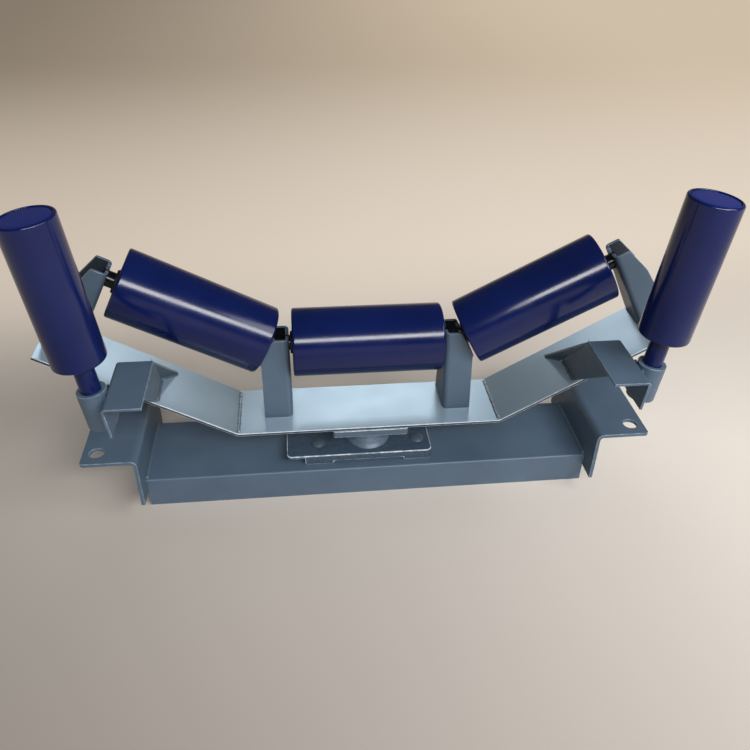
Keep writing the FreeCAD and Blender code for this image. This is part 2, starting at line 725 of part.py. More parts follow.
def guide_roller_parts():
    """Shell, cap, housings and bearing rings of one guide roller, along the guide axis."""
    low = socket_length + spindle_gap
    high = low + guide_length
    radius = guide_diameter / 2
    bore = radius - guide_wall
    edge = guide_edge_radius
    shell = turned([(low, bore, 0), (low, radius, edge), (high, radius, edge), (high, bore, 0)], Z_AXIS)
    cap_top = high - guide_cap_recess
    cap = rod(bore, cap_top - guide_cap_thickness, cap_top)
    seat = guide_bearing_outer_diameter / 2
    race = guide_bearing_bore / 2 + guide_bearing_ring
    shield = race + shield_clearance
    starts = (low + guide_bearing_inset, low + guide_bearing_inset + guide_bearing_span)
    outers, inners = [], []
    for start in starts:
        end = start + guide_bearing_width
        outers.append(ring(shield, seat, start, end, Z_AXIS))
        inners.append(ring(guide_bearing_bore / 2, race, start, end, Z_AXIS))
    lip = seat - guide_housing_shoulder
    lower_start = starts[0]
    lower_end = lower_start + guide_bearing_width
    cover_bore = spindle_diameter / 2 + guide_cover_clearance
    lower = turned([
        (lower_start - guide_cover_thickness, cover_bore, 0), (lower_start - guide_cover_thickness, bore, 0),
        (lower_end + housing_wall, bore, 0), (lower_end + housing_wall, lip, 0), (lower_end, lip, 0),
        (lower_end, seat, 0), (lower_start, seat, 0), (lower_start, cover_bore, 0)], Z_AXIS)
    upper_start = starts[1]
    upper_end = upper_start + guide_bearing_width
    upper = turned([
        (upper_start - housing_wall, lip, 0), (upper_start - housing_wall, bore, 0), (upper_end, bore, 0),
        (upper_end, seat, 0), (upper_start, seat, 0), (upper_start, lip, 0)], Z_AXIS)
    return {
        "shell": [shell],
        "top_cap": [cap],
        "housings": [lower, upper],
        "bearing_outer_rings": outers}, inners


def make_guide_spindle():
    """Spindle along the guide axis: journal, thick stub in the socket, and a threaded tail in its recess."""
    lower_bearing = socket_length + spindle_gap + guide_bearing_inset
    journal_end = lower_bearing + guide_bearing_span + guide_bearing_width
    stub = spindle_diameter / 2
    journal = guide_bearing_bore / 2
    tail = spindle_tail_diameter / 2
    return turned([
        (0, 0, 0), (0, tail, 0), (floor_top, tail, 0), (floor_top, stub, 0), (lower_bearing, stub, 0),
        (lower_bearing, journal, 0), (journal_end, journal, 0), (journal_end, 0, 0)], Z_AXIS)


def make_spindle_fasteners():
    """Washer and nut on the spindle's tail, in the recess under the socket's floor."""
    nut_top = socket_recess - spindle_washer_thickness
    washer = ring(spindle_tail_diameter / 2 + tail_clearance, spindle_washer_diameter / 2,
                  nut_top, socket_recess, Z_AXIS)
    nut = hex_nut(spindle_nut_flats, spindle_tail_diameter, nut_top - spindle_nut_height, nut_top)
    return washer, nut


def save(name, solids):
    """Write one named piece, or a group of like pieces, as a STEP file."""
    shape = solids[0] if len(solids) == 1 else Part.makeCompound(solids)
    shape.exportStep(os.path.join("parts", name + ".step"))


def save_pair(name, solids):
    """Write a right-hand piece and its left-hand twin."""
    save("right_" + name, solids)
    save("left_" + name, [mirrored(solid) for solid in solids])


def build_base_frame():
    save("base_beam", [make_base_beam()])
    save_pair("foot", [make_foot()])
    save("pivot_base_casting", [make_pivot_base_casting()])
    bolts, washers, nuts = make_casting_fasteners()
    save("pivot_base_bolts", bolts)
    save("pivot_base_washers", washers)
    save("pivot_base_nuts", nuts)
    save("pivot_bush", [make_pivot_bush()])


def build_swivel():
    lower, upper, balls = make_thrust_bearing()
    save("thrust_bearing_lower_race", [lower])
    save("thrust_bearing_upper_race", [upper])
    save("thrust_bearing_balls", balls)
    save("king_pin", [make_king_pin()])
    washer, nut = make_king_pin_fasteners()
    save("king_pin_washer", [washer])
    save("king_pin_nut", [nut])
    save("pivot_top_plate", [make_pivot_top_plate()])
    save("cross_plate", [make_cross_plate()])


def build_brackets_and_arms():
    centre_bracket = make_centre_bracket()
    save_pair("centre_bracket", [centre_bracket])
    save_pair("shaft_seat", [make_shaft_seat(centre_bracket)])
    save_pair("end_bracket", [make_end_bracket()])
    web = make_arm_web()
    save_pair("guide_arm", [make_guide_arm()])
    save_pair("arm_web", [web])
    save_pair("arm_brace", [make_arm_brace(web)])
    save_pair("guide_socket", [make_guide_socket()])


def build_trough_rollers():
    parts, inner_rings = trough_roller_parts()
    for name, solids in parts.items():
        save("centre_roller_" + name, [placed(solid, centre_roller_frame) for solid in solids])
        save_pair("wing_roller_" + name, [placed(solid, wing_roller_frame) for solid in solids])
    wing_rings = [placed(solid, wing_roller_frame) for solid in inner_rings]
    centre_rings = [placed(solid, centre_roller_frame) for solid in inner_rings]
    save("roller_bearing_inner_rings", centre_rings + wing_rings + [mirrored(solid) for solid in wing_rings])
    centre_shaft = shaft_with_flats(inner_end_gap, inner_end_gap)
    save("centre_roller_shaft", [placed(centre_shaft, centre_roller_frame)])
    wing_shaft = shaft_with_flats(inner_end_gap, outer_end_gap)
    save_pair("wing_roller_shaft", [placed(wing_shaft, wing_roller_frame)])


def build_guide_rollers():
    parts, inner_rings = guide_roller_parts()
    for name, solids in parts.items():
        save_pair("guide_roller_" + name, [placed(solid, guide_frame) for solid in solids])
    right_rings = [placed(solid, guide_frame) for solid in inner_rings]
    save("guide_bearing_inner_rings", right_rings + [mirrored(solid) for solid in right_rings])
    save_pair("guide_spindle", [placed(make_guide_spindle(), guide_frame)])
    for name, solid in zip(("washers", "nuts"), make_spindle_fasteners()):
        right = placed(solid, guide_frame)
        save("guide_spindle_" + name, [right, mirrored(right)])


os.makedirs("parts", exist_ok=True)
build_base_frame()
build_swivel()
build_brackets_and_arms()
build_trough_rollers()
build_guide_rollers()
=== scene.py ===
import bpy
import json
import math
import numpy as np
from mathutils import Matrix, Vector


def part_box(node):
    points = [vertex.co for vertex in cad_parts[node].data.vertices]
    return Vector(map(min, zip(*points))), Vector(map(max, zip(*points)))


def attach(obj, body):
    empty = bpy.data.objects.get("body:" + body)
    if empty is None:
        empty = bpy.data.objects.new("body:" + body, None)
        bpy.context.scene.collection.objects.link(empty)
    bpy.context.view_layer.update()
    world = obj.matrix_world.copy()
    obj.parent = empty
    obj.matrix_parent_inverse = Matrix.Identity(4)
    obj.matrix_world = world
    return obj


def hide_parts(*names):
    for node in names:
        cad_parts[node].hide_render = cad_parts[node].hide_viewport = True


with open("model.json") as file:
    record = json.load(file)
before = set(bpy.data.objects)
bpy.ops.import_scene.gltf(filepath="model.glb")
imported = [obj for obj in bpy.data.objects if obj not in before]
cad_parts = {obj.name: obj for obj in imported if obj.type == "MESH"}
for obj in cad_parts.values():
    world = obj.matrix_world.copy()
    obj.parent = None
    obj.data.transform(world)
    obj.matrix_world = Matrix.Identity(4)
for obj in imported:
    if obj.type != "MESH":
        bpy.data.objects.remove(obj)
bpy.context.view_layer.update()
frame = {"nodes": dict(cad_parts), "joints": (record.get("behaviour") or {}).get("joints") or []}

# Units and directions: lengths are in metres, and angles in degrees
MM = 0.001
X_AXIS = np.array([1.0, 0, 0])
Y_AXIS = np.array([0, 1.0, 0])
Z_AXIS = np.array([0, 0, 1.0])
MIRROR_X = np.array([-1.0, 1, 1])


def unit(vectors):
    """Vectors scaled to length one."""
    vectors = np.asarray(vectors, float)
    return vectors / np.linalg.norm(vectors, axis=-1, keepdims=True)


def raised(angle):
    """Unit vector in the XZ plane, raised from X by an angle."""
    return np.array([math.cos(math.radians(angle)), 0, math.sin(math.radians(angle))])


def solid_box(node):
    """Lowest and highest corner of a solid, to a thousandth of a millimetre."""
    return [np.round(np.array(corner, float), 6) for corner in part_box(node)]


def spin_axis(roller):
    """Origin and direction of a roller's axis, from its joint."""
    joint = next(joint for joint in frame["joints"] if joint["child"] == roller)
    return np.array(joint["pos_m"], float), unit(joint["axis"])


# Sizes that the frame doesn't list
FOLD_X = 172.5 * MM
WING_SLOPE = 30
END_WEB = 206 * MM
BRACKET_HALF_TOP = 19.5 * MM
BRACKET_WALL = 4 * MM
BRACKET_BEND = 7 * MM
WEB_BASE_X = 268 * MM

# Places and sizes from the frame
ROW_MIDDLE = spin_axis("centre_roller")[0]
WING_ORIGIN, TROUGH_AXIS = spin_axis("right_wing_roller")
GUIDE_ORIGIN, GUIDE_AXIS = spin_axis("right_guide_roller")
ROLLER_LENGTH = np.ptp(solid_box("centre_roller_shell"), axis=0)[0]
BEAM_LOW, BEAM_HIGH = solid_box("base_beam")
BRACKET_LOW, BRACKET_HIGH = solid_box("right_centre_bracket")
WEB_LOW, WEB_HIGH = solid_box("right_arm_web")
PLATE_HALF_WIDTH = solid_box("cross_plate")[1][1]
PLATE_TOP = BRACKET_LOW[2]
CENTRE_WEB = BRACKET_LOW[0]
BRACKET_RISE = BRACKET_HIGH[2] - ROW_MIDDLE[2]
BRACKET_HALF_BASE = (BRACKET_HIGH[1] - BRACKET_LOW[1]) / 2
BRACKET_TAPER = (BRACKET_HALF_BASE - BRACKET_HALF_TOP) / (BRACKET_HIGH[2] - BRACKET_LOW[2])
WING_UP_SLOPE = raised(WING_SLOPE)
WING_NORMAL = raised(WING_SLOPE + 90)
WING_RISE = math.tan(math.radians(WING_SLOPE))


# Surfaces on a grid

TINY = 1e-9                     # a length that counts as none
SAME_POINT = 1e-7               # points nearer than this are one
POLE = 1e-5                     # radius kept at the ends of a turned profile
BEARING_CIRCLE = 0.475          # radius of a nut's bearing face, as a share of its width over the flats


def grid_faces(rows, columns, close_rows, close_columns):
    """Four-sided faces of a grid: each joins a node to its next row and next column, and goes round to the
    start where the grid is closed."""
    row, column = np.meshgrid(np.arange(rows if close_rows else rows - 1),
                              np.arange(columns if close_columns else columns - 1), indexing="ij")
    next_row = (row + 1) % rows
    next_column = (column + 1) % columns
    corners = [row * columns + column, row * columns + next_column,
               next_row * columns + next_column, next_row * columns + column]
    return np.stack(corners, -1).reshape(-1, 4)


def fan_faces(pole, ring_start, columns):
    """Triangles from one pole to each side of a ring of nodes."""
    here = np.arange(columns)
    return np.stack([np.full(columns, pole), ring_start + here, ring_start + (here + 1) % columns], -1)


def outwards(points, quads, triangles):
    """Faces turned so that the enclosed volume, a third of the sum of centre dot area vector, is above 0."""
    def flux(faces):
        if len(faces) == 0:
            return 0.0
        corner = points[faces]
        area = np.cross(corner[:, 1] - corner[:, 0], corner[:, 2] - corner[:, 0])
        if faces.shape[1] == 4:
            area = area + np.cross(corner[:, 2] - corner[:, 0], corner[:, 3] - corner[:, 0])
        return float(np.sum(corner.mean(1) * area))
    if flux(quads) + flux(triangles) < 0:
        return quads[:, ::-1], triangles[:, ::-1]
    return quads, triangles


def closed_grid(grid, close_rows):
    """Solid skin of a (rows, columns, 3) grid, closed round its columns, and round its rows or by poles."""
    rows, columns = grid.shape[:2]
    points = grid.reshape(-1, 3)
    quads = grid_faces(rows, columns, close_rows, True)
    if close_rows:
        return points, *outwards(points, quads, np.empty((0, 3), int))
    low_fan = fan_faces(len(points), 0, columns)
    high_fan = fan_faces(len(points) + 1, (rows - 1) * columns, columns)[:, ::-1]
    points = np.concatenate([points, grid[[0, -1]].mean(1)])
    return points, *outwards(points, quads, np.concatenate([low_fan, high_fan]))


def rounded_line(corners, closed, steps=6):
    """Dense line through (u, v, rounding) corners: a rounded corner is an arc tangent to both its sides,
    its centre on the bisector at rounding / sin(half the angle)."""
    corners = np.asarray(corners, float)
    here, rounding = corners[:, :2], corners[:, 2:]
    back = np.roll(here, 1, 0) - here
    ahead = np.roll(here, -1, 0) - here
    if not closed:
        back[0], ahead[-1] = -ahead[0], -back[-1]
    back, ahead = unit(back), unit(ahead)
    straight = 0.999999
    half = np.arccos(np.clip((back * ahead).sum(1, keepdims=True), -straight, straight)) / 2
    middle = back + ahead
    length = np.linalg.norm(middle, axis=1, keepdims=True)
    middle = middle / np.where(length < TINY, 1, length)
    centre = here + middle * rounding / np.sin(half)
    start = here + back * rounding / np.tan(half) - centre
    end = here + ahead * rounding / np.tan(half) - centre
    from_angle = np.arctan2(start[:, 1], start[:, 0])
    sweep = np.arctan2(end[:, 1], end[:, 0]) - from_angle
    sweep = (sweep + np.pi) % (2 * np.pi) - np.pi
    angle = from_angle[:, None] + sweep[:, None] * np.linspace(0, 1, steps)
    arc = centre[:, None] + rounding[:, None] * np.stack([np.cos(angle), np.sin(angle)], -1)
    line = np.where(rounding[:, None] > 0, arc, here[:, None]).reshape(-1, 2)
    apart = np.linalg.norm(line - np.roll(line, 1, 0), axis=1) > SAME_POINT
    if not closed:
        apart[0] = True
    return line[apart]


def round_angles(columns):
    """Even angles of a full turn."""
    return 2 * np.pi * np.arange(columns) / columns


def turned(profile, origin, axis, columns, closed):
    """Surface of revolution: origin + along * axis + radius * (cos * e1 + sin * e2) over all columns."""
    helper = Y_AXIS if abs(axis[1]) < 0.9 else X_AXIS
    first = unit(np.cross(axis, helper))
    second = np.cross(axis, first)
    angle = round_angles(columns)[:, None]
    spoke = np.cos(angle) * first + np.sin(angle) * second
    grid = origin + profile[:, :1, None] * axis + profile[:, 1:, None] * spoke
    return closed_grid(grid, closed)


def hexagon_radius(flats, angle):
    """Distance from the axis to a hexagon's side at an angle: half the flats over the cosine of the angle to
    the nearest flat."""
    to_flat = (angle + np.pi / 6) % (np.pi / 3) - np.pi / 6
    return flats / 2 / np.cos(to_flat)


def hex_rows(flats, rows):
    """Rings of a nut about Z: ('round', radius, z) or ('hex', z, slope), where a hex ring drops away from
    the bearing circle by the slope times its distance outside that circle."""
    angle = round_angles(96)
    outline = hexagon_radius(flats, angle)
    rings = []
    for kind, first, second in rows:
        if kind == "hex":
            radius, height = outline, first + second * (outline - BEARING_CIRCLE * flats)
        else:
            radius, height = np.full_like(angle, first), np.full_like(angle, second)
        rings.append(np.stack([radius * np.cos(angle), radius * np.sin(angle), height], -1))
    return np.stack(rings)


def hex_nut(flats, bore, low, high):
    """Nut about Z: both faces chamfered at 30 degrees, and the bore countersunk."""
    slope = math.tan(math.radians(30))
    sink = 0.06 * bore
    hole, bearing = bore / 2, BEARING_CIRCLE * flats
    rows = [("round", hole, low + sink), ("round", hole + sink, low), ("round", bearing, low),
            ("hex", low, slope), ("hex", high, -slope),
            ("round", bearing, high), ("round", hole + sink, high), ("round", hole, high - sink)]
    return closed_grid(hex_rows(flats, rows), True)


def threaded_end(radius, pitch, low, high):
    """Threaded rod about Z: its radius falls by a triangle wave of height minus turn, and its low tip is
    chamfered."""
    rows_a_turn, depth = 8, 0.54 * pitch
    rows = max(12, int(round((high - low) / pitch * rows_a_turn)))
    height = np.linspace(low, high, rows)[:, None]
    angle = round_angles(48)[None, :]
    phase = (height / pitch - angle / (2 * np.pi)) % 1
    wave = np.abs(2 * phase - 1)
    tip = np.clip((height - low) / pitch, 0, 1)
    run_out = np.clip((high - height) / pitch, 0, 1)
    local = radius - depth * np.maximum(wave * run_out, 1 - tip)
    grid = np.stack([local * np.cos(angle), local * np.sin(angle), height + 0 * angle], -1)
    return closed_grid(grid, False)


def square_bar(side, low, high):
    """Square neck about Z, between two heights."""
    corners = side / 2 * np.array([(-1, -1), (1, -1), (1, 1), (-1, 1)])
    rows = [np.concatenate([corners, np.full((4, 1), height)], 1) for height in (low, high)]
    return closed_grid(np.stack(rows), False)


def dome(radius, low, high):
    """Domed bolt head about Z: an upright rim, then the sphere's cap whose radius is (radius squared plus
    height squared) over twice the height."""
    rim = 0.12 * (high - low)
    height = high - low - rim
    ball = (radius ** 2 + height ** 2) / (2 * height)
    angle = np.linspace(math.asin(radius / ball), 0, 14)
    cap = np.stack([high - ball + ball * np.cos(angle), np.maximum(ball * np.sin(angle), POLE)], -1)
    foot = np.array([(low, POLE), (low, 0.97 * radius), (low + 0.3 * rim, radius)])
    return turned(np.concatenate([foot, cap]), np.zeros(3), Z_AXIS, columns=64, closed=False)


def shank(radius, low, high):
    """Plain round shank about Z, between two heights."""
    profile = np.array([(low, POLE), (low, radius), (high, radius), (high, POLE)])
    return turned(profile, np.zeros(3), Z_AXIS, columns=48, closed=False)


def washer(hole, radius, low, high, origin, axis):
    """Pressed washer with rounded rims, about an axis, from the hole's radius to the outer radius."""
    inner, outer = 0.2 * MM, 0.5 * MM
    corners = [(low, hole, inner), (low, radius, outer), (high, radius, outer), (high, hole, inner)]
    return turned(rounded_line(corners, closed=True), origin, axis, columns=64, closed=True)


def running_length(line):
    """Length along a line of points, from its start to each point."""
    return np.concatenate([[0], np.cumsum(np.linalg.norm(np.diff(line, axis=0), axis=1))])


def resampled(line, step):
    """Line of points with even spacing, by interpolation on its running length."""
    length = running_length(line)
    count = max(8, int(length[-1] / step))
    even = np.linspace(0, length[-1], count)
    return np.stack([np.interp(even, length, column) for column in line.T], -1)


def mirrored(skin):
    """Left-hand twin of a skin: x changes sign, and the faces are turned outwards again."""
    points, quads, triangles = skin
    points = points * MIRROR_X
    return points, *outwards(points, quads[:, ::-1], triangles[:, ::-1])


def shifted(skin, offset):
    """Copy of a skin, moved by an offset."""
    points, quads, triangles = skin
    return points + np.asarray(offset), quads, triangles


def carried(skin, origin, axis):
    """Skin made about Z, carried to an axis in the XZ plane that leans from Z towards X."""
    points, quads, triangles = skin
    across = np.array([axis[2], 0, -axis[0]])
    points = origin + points[:, :1] * across + points[:, 1:2] * Y_AXIS + points[:, 2:] * axis
    return points, quads, triangles


def joined(skins):
    """Several skins as one list of points and faces."""
    offsets = np.concatenate([[0], np.cumsum([len(skin[0]) for skin in skins])])
    points = np.concatenate([skin[0] for skin in skins])
    quads = np.concatenate([skin[1] + offset for skin, offset in zip(skins, offsets)])
    triangles = np.concatenate([skin[2] + offset for skin, offset in zip(skins, offsets)])
    return points, quads, triangles


def piece(name, skins, material, body, nodes=(), sharp=35):
    """One finished piece from its skins, riding on a body and standing for the nodes it replaces. Edges past
    the sharp angle aren't smoothed."""
    points, quads, triangles = joined(skins)
    mesh = bpy.data.meshes.new(name)
    mesh.from_pydata(points.tolist(), [], quads.tolist() + triangles.tolist())
    mesh.shade_smooth()
    mesh.set_sharp_from_angle(angle=math.radians(sharp))
    mesh.materials.append(material)
    thing = bpy.data.objects.new(name, mesh)
    bpy.context.scene.collection.objects.link(thing)
    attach(thing, body)
    if nodes:
        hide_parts(*nodes)


# Materials

USUAL_NOISE = (0.3, 0.7)        # nearly all values of a noise pattern lie between these


def srgb(red, green, blue):
    """Linear colour of an eight-bit screen colour."""
    value = np.array([red, green, blue]) / 255
    linear = np.where(value <= 0.04045, value / 12.92, ((value + 0.055) / 1.055) ** 2.4)
    return (*[float(v) for v in linear], 1.0)


class Finish:
    """A material under construction: a principled shader fed by patterns on object coordinates."""

    def __init__(self, name):
        self.material = bpy.data.materials.new(name)
        self.material.use_nodes = True
        self.nodes = self.material.node_tree.nodes
        self.links = self.material.node_tree.links
        self.shader = self.nodes["Principled BSDF"]
        coordinates = self.nodes.new("ShaderNodeTexCoord")
        self.place = coordinates.outputs["Object"]
        self.facing = coordinates.outputs["Normal"]

    def fix(self, socket, value):
        """Sets a value that is the same all over the surface."""
        self.shader.inputs[socket].default_value = value

    def feed(self, socket, value):
        """Links a value that varies over the surface to a socket of the shader."""
        self.links.new(value, self.shader.inputs[socket])

    def rough(self, pattern, low, high):
        """Roughness from low to high over a noise pattern's usual values."""
        self.feed("Roughness", self.spread(pattern, *USUAL_NOISE, low, high))

    def stretched(self, scale):
        """Object coordinates scaled apart along x, y and z."""
        node = self.nodes.new("ShaderNodeMapping")
        node.inputs["Scale"].default_value = scale
        self.links.new(self.place, node.inputs["Vector"])
        return node.outputs["Vector"]

    def noise(self, scale, detail=3.0, roughness=0.55, vector=None):
        """Cloudy pattern between 0 and 1, with so many clouds to the metre."""
        node = self.nodes.new("ShaderNodeTexNoise")
        node.inputs["Scale"].default_value = scale
        node.inputs["Detail"].default_value = detail
        node.inputs["Roughness"].default_value = roughness
        self.links.new(vector or self.place, node.inputs["Vector"])
        return node.outputs["Fac"]

    def spread(self, value, low, high, to_low=0.0, to_high=1.0, smooth=False):
        """Value carried from one range to another and held within it, in a straight line or an S curve."""
        node = self.nodes.new("ShaderNodeMapRange")
        node.interpolation_type = "SMOOTHSTEP" if smooth else "LINEAR"
        sockets = ("From Min", "From Max", "To Min", "To Max")
        for socket, number in zip(sockets, (low, high, to_low, to_high)):
            node.inputs[socket].default_value = number
        self.links.new(value, node.inputs["Value"])
        return node.outputs["Result"]

    def mix(self, factor, first, second):
        """First colour where the factor is 0, second where it is 1."""
        node = self.nodes.new("ShaderNodeMix")
        node.data_type = "RGBA"
        self.links.new(factor, node.inputs["Factor"])
        for socket, colour in zip(node.inputs[6:8], (first, second)):
            if isinstance(colour, tuple):
                socket.default_value = colour
            else:
                self.links.new(colour, socket)
        return node.outputs[2]

    def calculate(self, operation, *values):
        """Result of one step of arithmetic, or of a comparison, on numbers or patterns."""
        node = self.nodes.new("ShaderNodeMath")
        node.operation = operation
        for socket, value in zip(node.inputs, values):
            if isinstance(value, (int, float)):
                socket.default_value = value
            else:
                self.links.new(value, socket)
        return node.outputs[0]

    def parts(self, vector):
        """The x, y and z of a vector."""
        node = self.nodes.new("ShaderNodeSeparateXYZ")
        self.links.new(vector, node.inputs[0])
        return node.outputs

    def along(self, origin, axis):
        """Distance along an axis of the right half, from an origin: the sum over x, y and z of the distance
        from the origin times the axis. The left half counts as its mirror image."""
        x, y, z = self.parts(self.place)
        total = 0.0
        for value, start, share in zip((self.calculate("ABSOLUTE", x), y, z), origin, axis):
            distance = self.calculate("SUBTRACT", value, float(start))
            total = self.calculate("ADD", total, self.calculate("MULTIPLY", distance, float(share)))
        return total

    def drift(self, light, dark):
        """Slow drift between two shades of a paint."""
        return self.mix(self.spread(self.noise(9, detail=4), 0.35, 0.65), light, dark)

    def bump(self, height, strength, distance):
        """Relief from a height pattern, on top of any relief already there."""
        node = self.nodes.new("ShaderNodeBump")
        node.inputs["Strength"].default_value = strength
        node.inputs["Distance"].default_value = distance
        self.links.new(height, node.inputs["Height"])
        if self.shader.inputs["Normal"].links:
            self.links.new(self.shader.inputs["Normal"].links[0].from_socket, node.inputs["Normal"])
        self.feed("Normal", node.outputs["Normal"])


def sprayed(name, light, dark, roughness, peel=0.12):
    """Sprayed paint: slow drift between two shades, uneven gloss and an orange-peel skin."""
    finish = Finish(name)
    shade = finish.drift(light, dark)
    finish.rough(finish.noise(28, detail=5, roughness=0.6), roughness - 0.03, roughness + 0.03)
    finish.bump(finish.noise(420, detail=2, roughness=0.5), strength=peel, distance=0.3 * MM)
    return finish, shade


def enamel(name, light, dark, roughness, peel=0.12, specular=0.5):
    """Plain sprayed paint."""
    finish, shade = sprayed(name, light, dark, roughness, peel)
    finish.feed("Base Color", shade)
    finish.fix("Specular IOR Level", specular)
    return finish.material


def bracket_enamel(name, light, dark, inside, roughness, origin, axis, web, top):
    """Sprayed paint on a bracket, with painted shade: dark paint inside it, where shade falls between its web
    and flanges. A point is inside if it lies past the web's wall along the axis, and nearer the middle than
    the tapering inner face of the flanges."""
    finish, shade = sprayed(name, light, dark, roughness)
    wall = 0.9 * BRACKET_WALL
    up = np.array([-axis[2], 0, axis[0]])
    depth = finish.along(origin, axis)
    below = finish.calculate("SUBTRACT", top, finish.along(origin, up))
    off_middle = finish.calculate("ABSOLUTE", finish.along(origin, Y_AXIS))
    widening = finish.calculate("MULTIPLY", below, BRACKET_TAPER)
    half = finish.calculate("ADD", widening, BRACKET_HALF_TOP - wall)
    past_web = finish.calculate("GREATER_THAN", depth, web + wall)
    within = finish.calculate("LESS_THAN", off_middle, half)
    # painted shade: dark paint wherever a point is inside the bracket
    finish.feed("Base Color", finish.mix(finish.calculate("MULTIPLY", past_web, within), shade, inside))
    return finish.material


def plate_enamel(name, light, dark, edge, roughness, sheen):
    """Pale paint with a metallic sheen on the cross plate's upper faces, and painted shade on its edges and
    underside: plain dark paint on every face that doesn't face up."""
    finish = Finish(name)
    shade = finish.drift(light, dark)
    least_rise = 0.3
    upward = finish.calculate("GREATER_THAN", finish.parts(finish.facing)[2], least_rise)
    # painted shade: faces that don't face up take the dark colour
    finish.feed("Base Color", finish.mix(upward, edge, shade))
    finish.rough(finish.noise(28, detail=5, roughness=0.6), roughness - 0.02, roughness + 0.02)
    finish.feed("Metallic", finish.calculate("MULTIPLY", upward, sheen))
    return finish.material


def cast_paint(name, light, dark, roughness):
    """Paint over a sand-cast skin: pitted at two scales, and darker in the pits."""
    finish = Finish(name)
    pits = finish.noise(230, detail=6, roughness=0.7)
    finish.feed("Base Color", finish.mix(finish.spread(pits, 0.35, 0.62), dark, light))
    finish.rough(finish.noise(60, detail=4), roughness - 0.08, roughness + 0.08)
    finish.bump(pits, strength=0.35, distance=0.8 * MM)
    finish.bump(finish.noise(40, detail=3), strength=0.25, distance=2 * MM)
    return finish.material


def worn_edge_and_highlight(name, paint, pale, roughness):
    """Paint thinned along an edge, with a painted highlight: patches of the paler shade, broken up by noise.
    """
    finish = Finish(name)
    patch = finish.spread(finish.noise(120, detail=5, roughness=0.65), 0.4, 0.62)
    # worn paint and painted highlight: paler patches along the edge
    finish.feed("Base Color", finish.mix(patch, paint, pale))
    finish.rough(finish.noise(300, detail=3), roughness - 0.06, roughness + 0.06)
    return finish.material


def turned_metal(name, light, dark, roughness, metallic, line_scale):
    """Machined metal: fine noise drawn out into tool lines, and a slow drift of gloss."""
    finish = Finish(name)
    lines = finish.noise(60, detail=3, roughness=0.6, vector=finish.stretched(line_scale))
    finish.feed("Base Color", finish.mix(finish.spread(lines, *USUAL_NOISE), light, dark))
    finish.rough(finish.noise(35, detail=4), roughness - 0.06, roughness + 0.08)
    finish.fix("Metallic", metallic)
    finish.bump(lines, strength=0.08, distance=0.2 * MM)
    return finish.material


def dull_rubber(name, light, dark):
    """Moulded rubber: matt, with a fine grain and a little dust."""
    finish = Finish(name)
    dust = finish.spread(finish.noise(70, detail=5), 0.4, 0.7)
    finish.feed("Base Color", finish.mix(dust, dark, light))
    finish.rough(finish.noise(200, detail=3), 0.55, 0.75)
    finish.bump(finish.noise(1500, detail=2), strength=0.15, distance=0.2 * MM)
    return finish.material


SLATE_LIGHT, SLATE_DARK, SLATE_ROUGHNESS = srgb(82, 101, 120), srgb(73, 91, 109), 0.42
# Painted shade: near-black and dark slate paint for the insides of the centre and end brackets
PAINTED_SHADE_INSIDE, END_PAINTED_SHADE_INSIDE = srgb(14, 15, 18), srgb(46, 53, 61)
NAVY = enamel("navy roller enamel", srgb(10, 26, 79), srgb(8, 21, 70),
              roughness=0.17, peel=0.02, specular=0.38)
# Painted light: the cap's navy is lighter than the tube's, as if lit from above
NAVY_CAP_PAINTED_LIGHTER = enamel("navy cap enamel", srgb(22, 42, 120), srgb(18, 36, 108),
                  roughness=0.3, peel=0.05, specular=0.25)
# Edge finishes: paler patches along the rounded edges, partly worn paint and partly painted highlight
NAVY_EDGE = worn_edge_and_highlight("navy roller enamel edge", srgb(20, 34, 98), srgb(40, 58, 130), roughness=0.24)
SLATE = enamel("slate frame enamel", SLATE_LIGHT, SLATE_DARK, SLATE_ROUGHNESS)
SLATE_EDGE = worn_edge_and_highlight("slate frame enamel edge", srgb(90, 108, 126), srgb(132, 149, 165), roughness=0.36)
CENTRE_BRACKET = bracket_enamel("slate enamel on centre bracket", SLATE_LIGHT, SLATE_DARK, PAINTED_SHADE_INSIDE,
                                SLATE_ROUGHNESS, ROW_MIDDLE, X_AXIS, CENTRE_WEB, BRACKET_RISE)
END_BRACKET = bracket_enamel("slate enamel on end bracket", SLATE_LIGHT, SLATE_DARK, END_PAINTED_SHADE_INSIDE,
                             SLATE_ROUGHNESS, WING_ORIGIN, TROUGH_AXIS, END_WEB, BRACKET_RISE)
# The plate's dark edge colour is painted shade on its edges and underside
PALE = plate_enamel("pale cross plate enamel", srgb(182, 205, 221), srgb(174, 198, 215),
                    edge=srgb(44, 55, 67), roughness=0.31, sheen=0.7)
PALE_EDGE = worn_edge_and_highlight("pale cross plate enamel edge", srgb(190, 206, 220), srgb(226, 236, 244),
                      roughness=0.28)
# Painted shade and painted light: the same slate paint is darker on the casting's skin, shaded under the
# plates, and lighter on the boss, as if lit from the front
CAST_PAINTED_SHADE = cast_paint("slate paint on cast skin", srgb(66, 83, 101), srgb(52, 67, 83), roughness=0.42)
CAST_EDGE = worn_edge_and_highlight("slate paint on cast edge", srgb(138, 154, 168), srgb(216, 226, 234), roughness=0.32)
BOSS_PAINTED_LIT = cast_paint("slate paint on cast boss", srgb(98, 116, 133), srgb(84, 101, 117), roughness=0.38)
WELD = enamel("slate enamel over weld", srgb(84, 100, 115), srgb(72, 88, 102), roughness=0.34, peel=0.1)
PALE_WELD = turned_metal("pale sheen over weld", srgb(206, 222, 234), srgb(186, 204, 219),
                         roughness=0.16, metallic=0.85, line_scale=(1, 1, 1))
FASTENER = enamel("slate enamel on fasteners", srgb(76, 91, 105), srgb(64, 78, 91), roughness=0.38)
SHAFT = turned_metal("blackened shaft steel", srgb(24, 25, 31), srgb(12, 13, 17),
                     roughness=0.2, metallic=0.4, line_scale=(1, 6, 6))
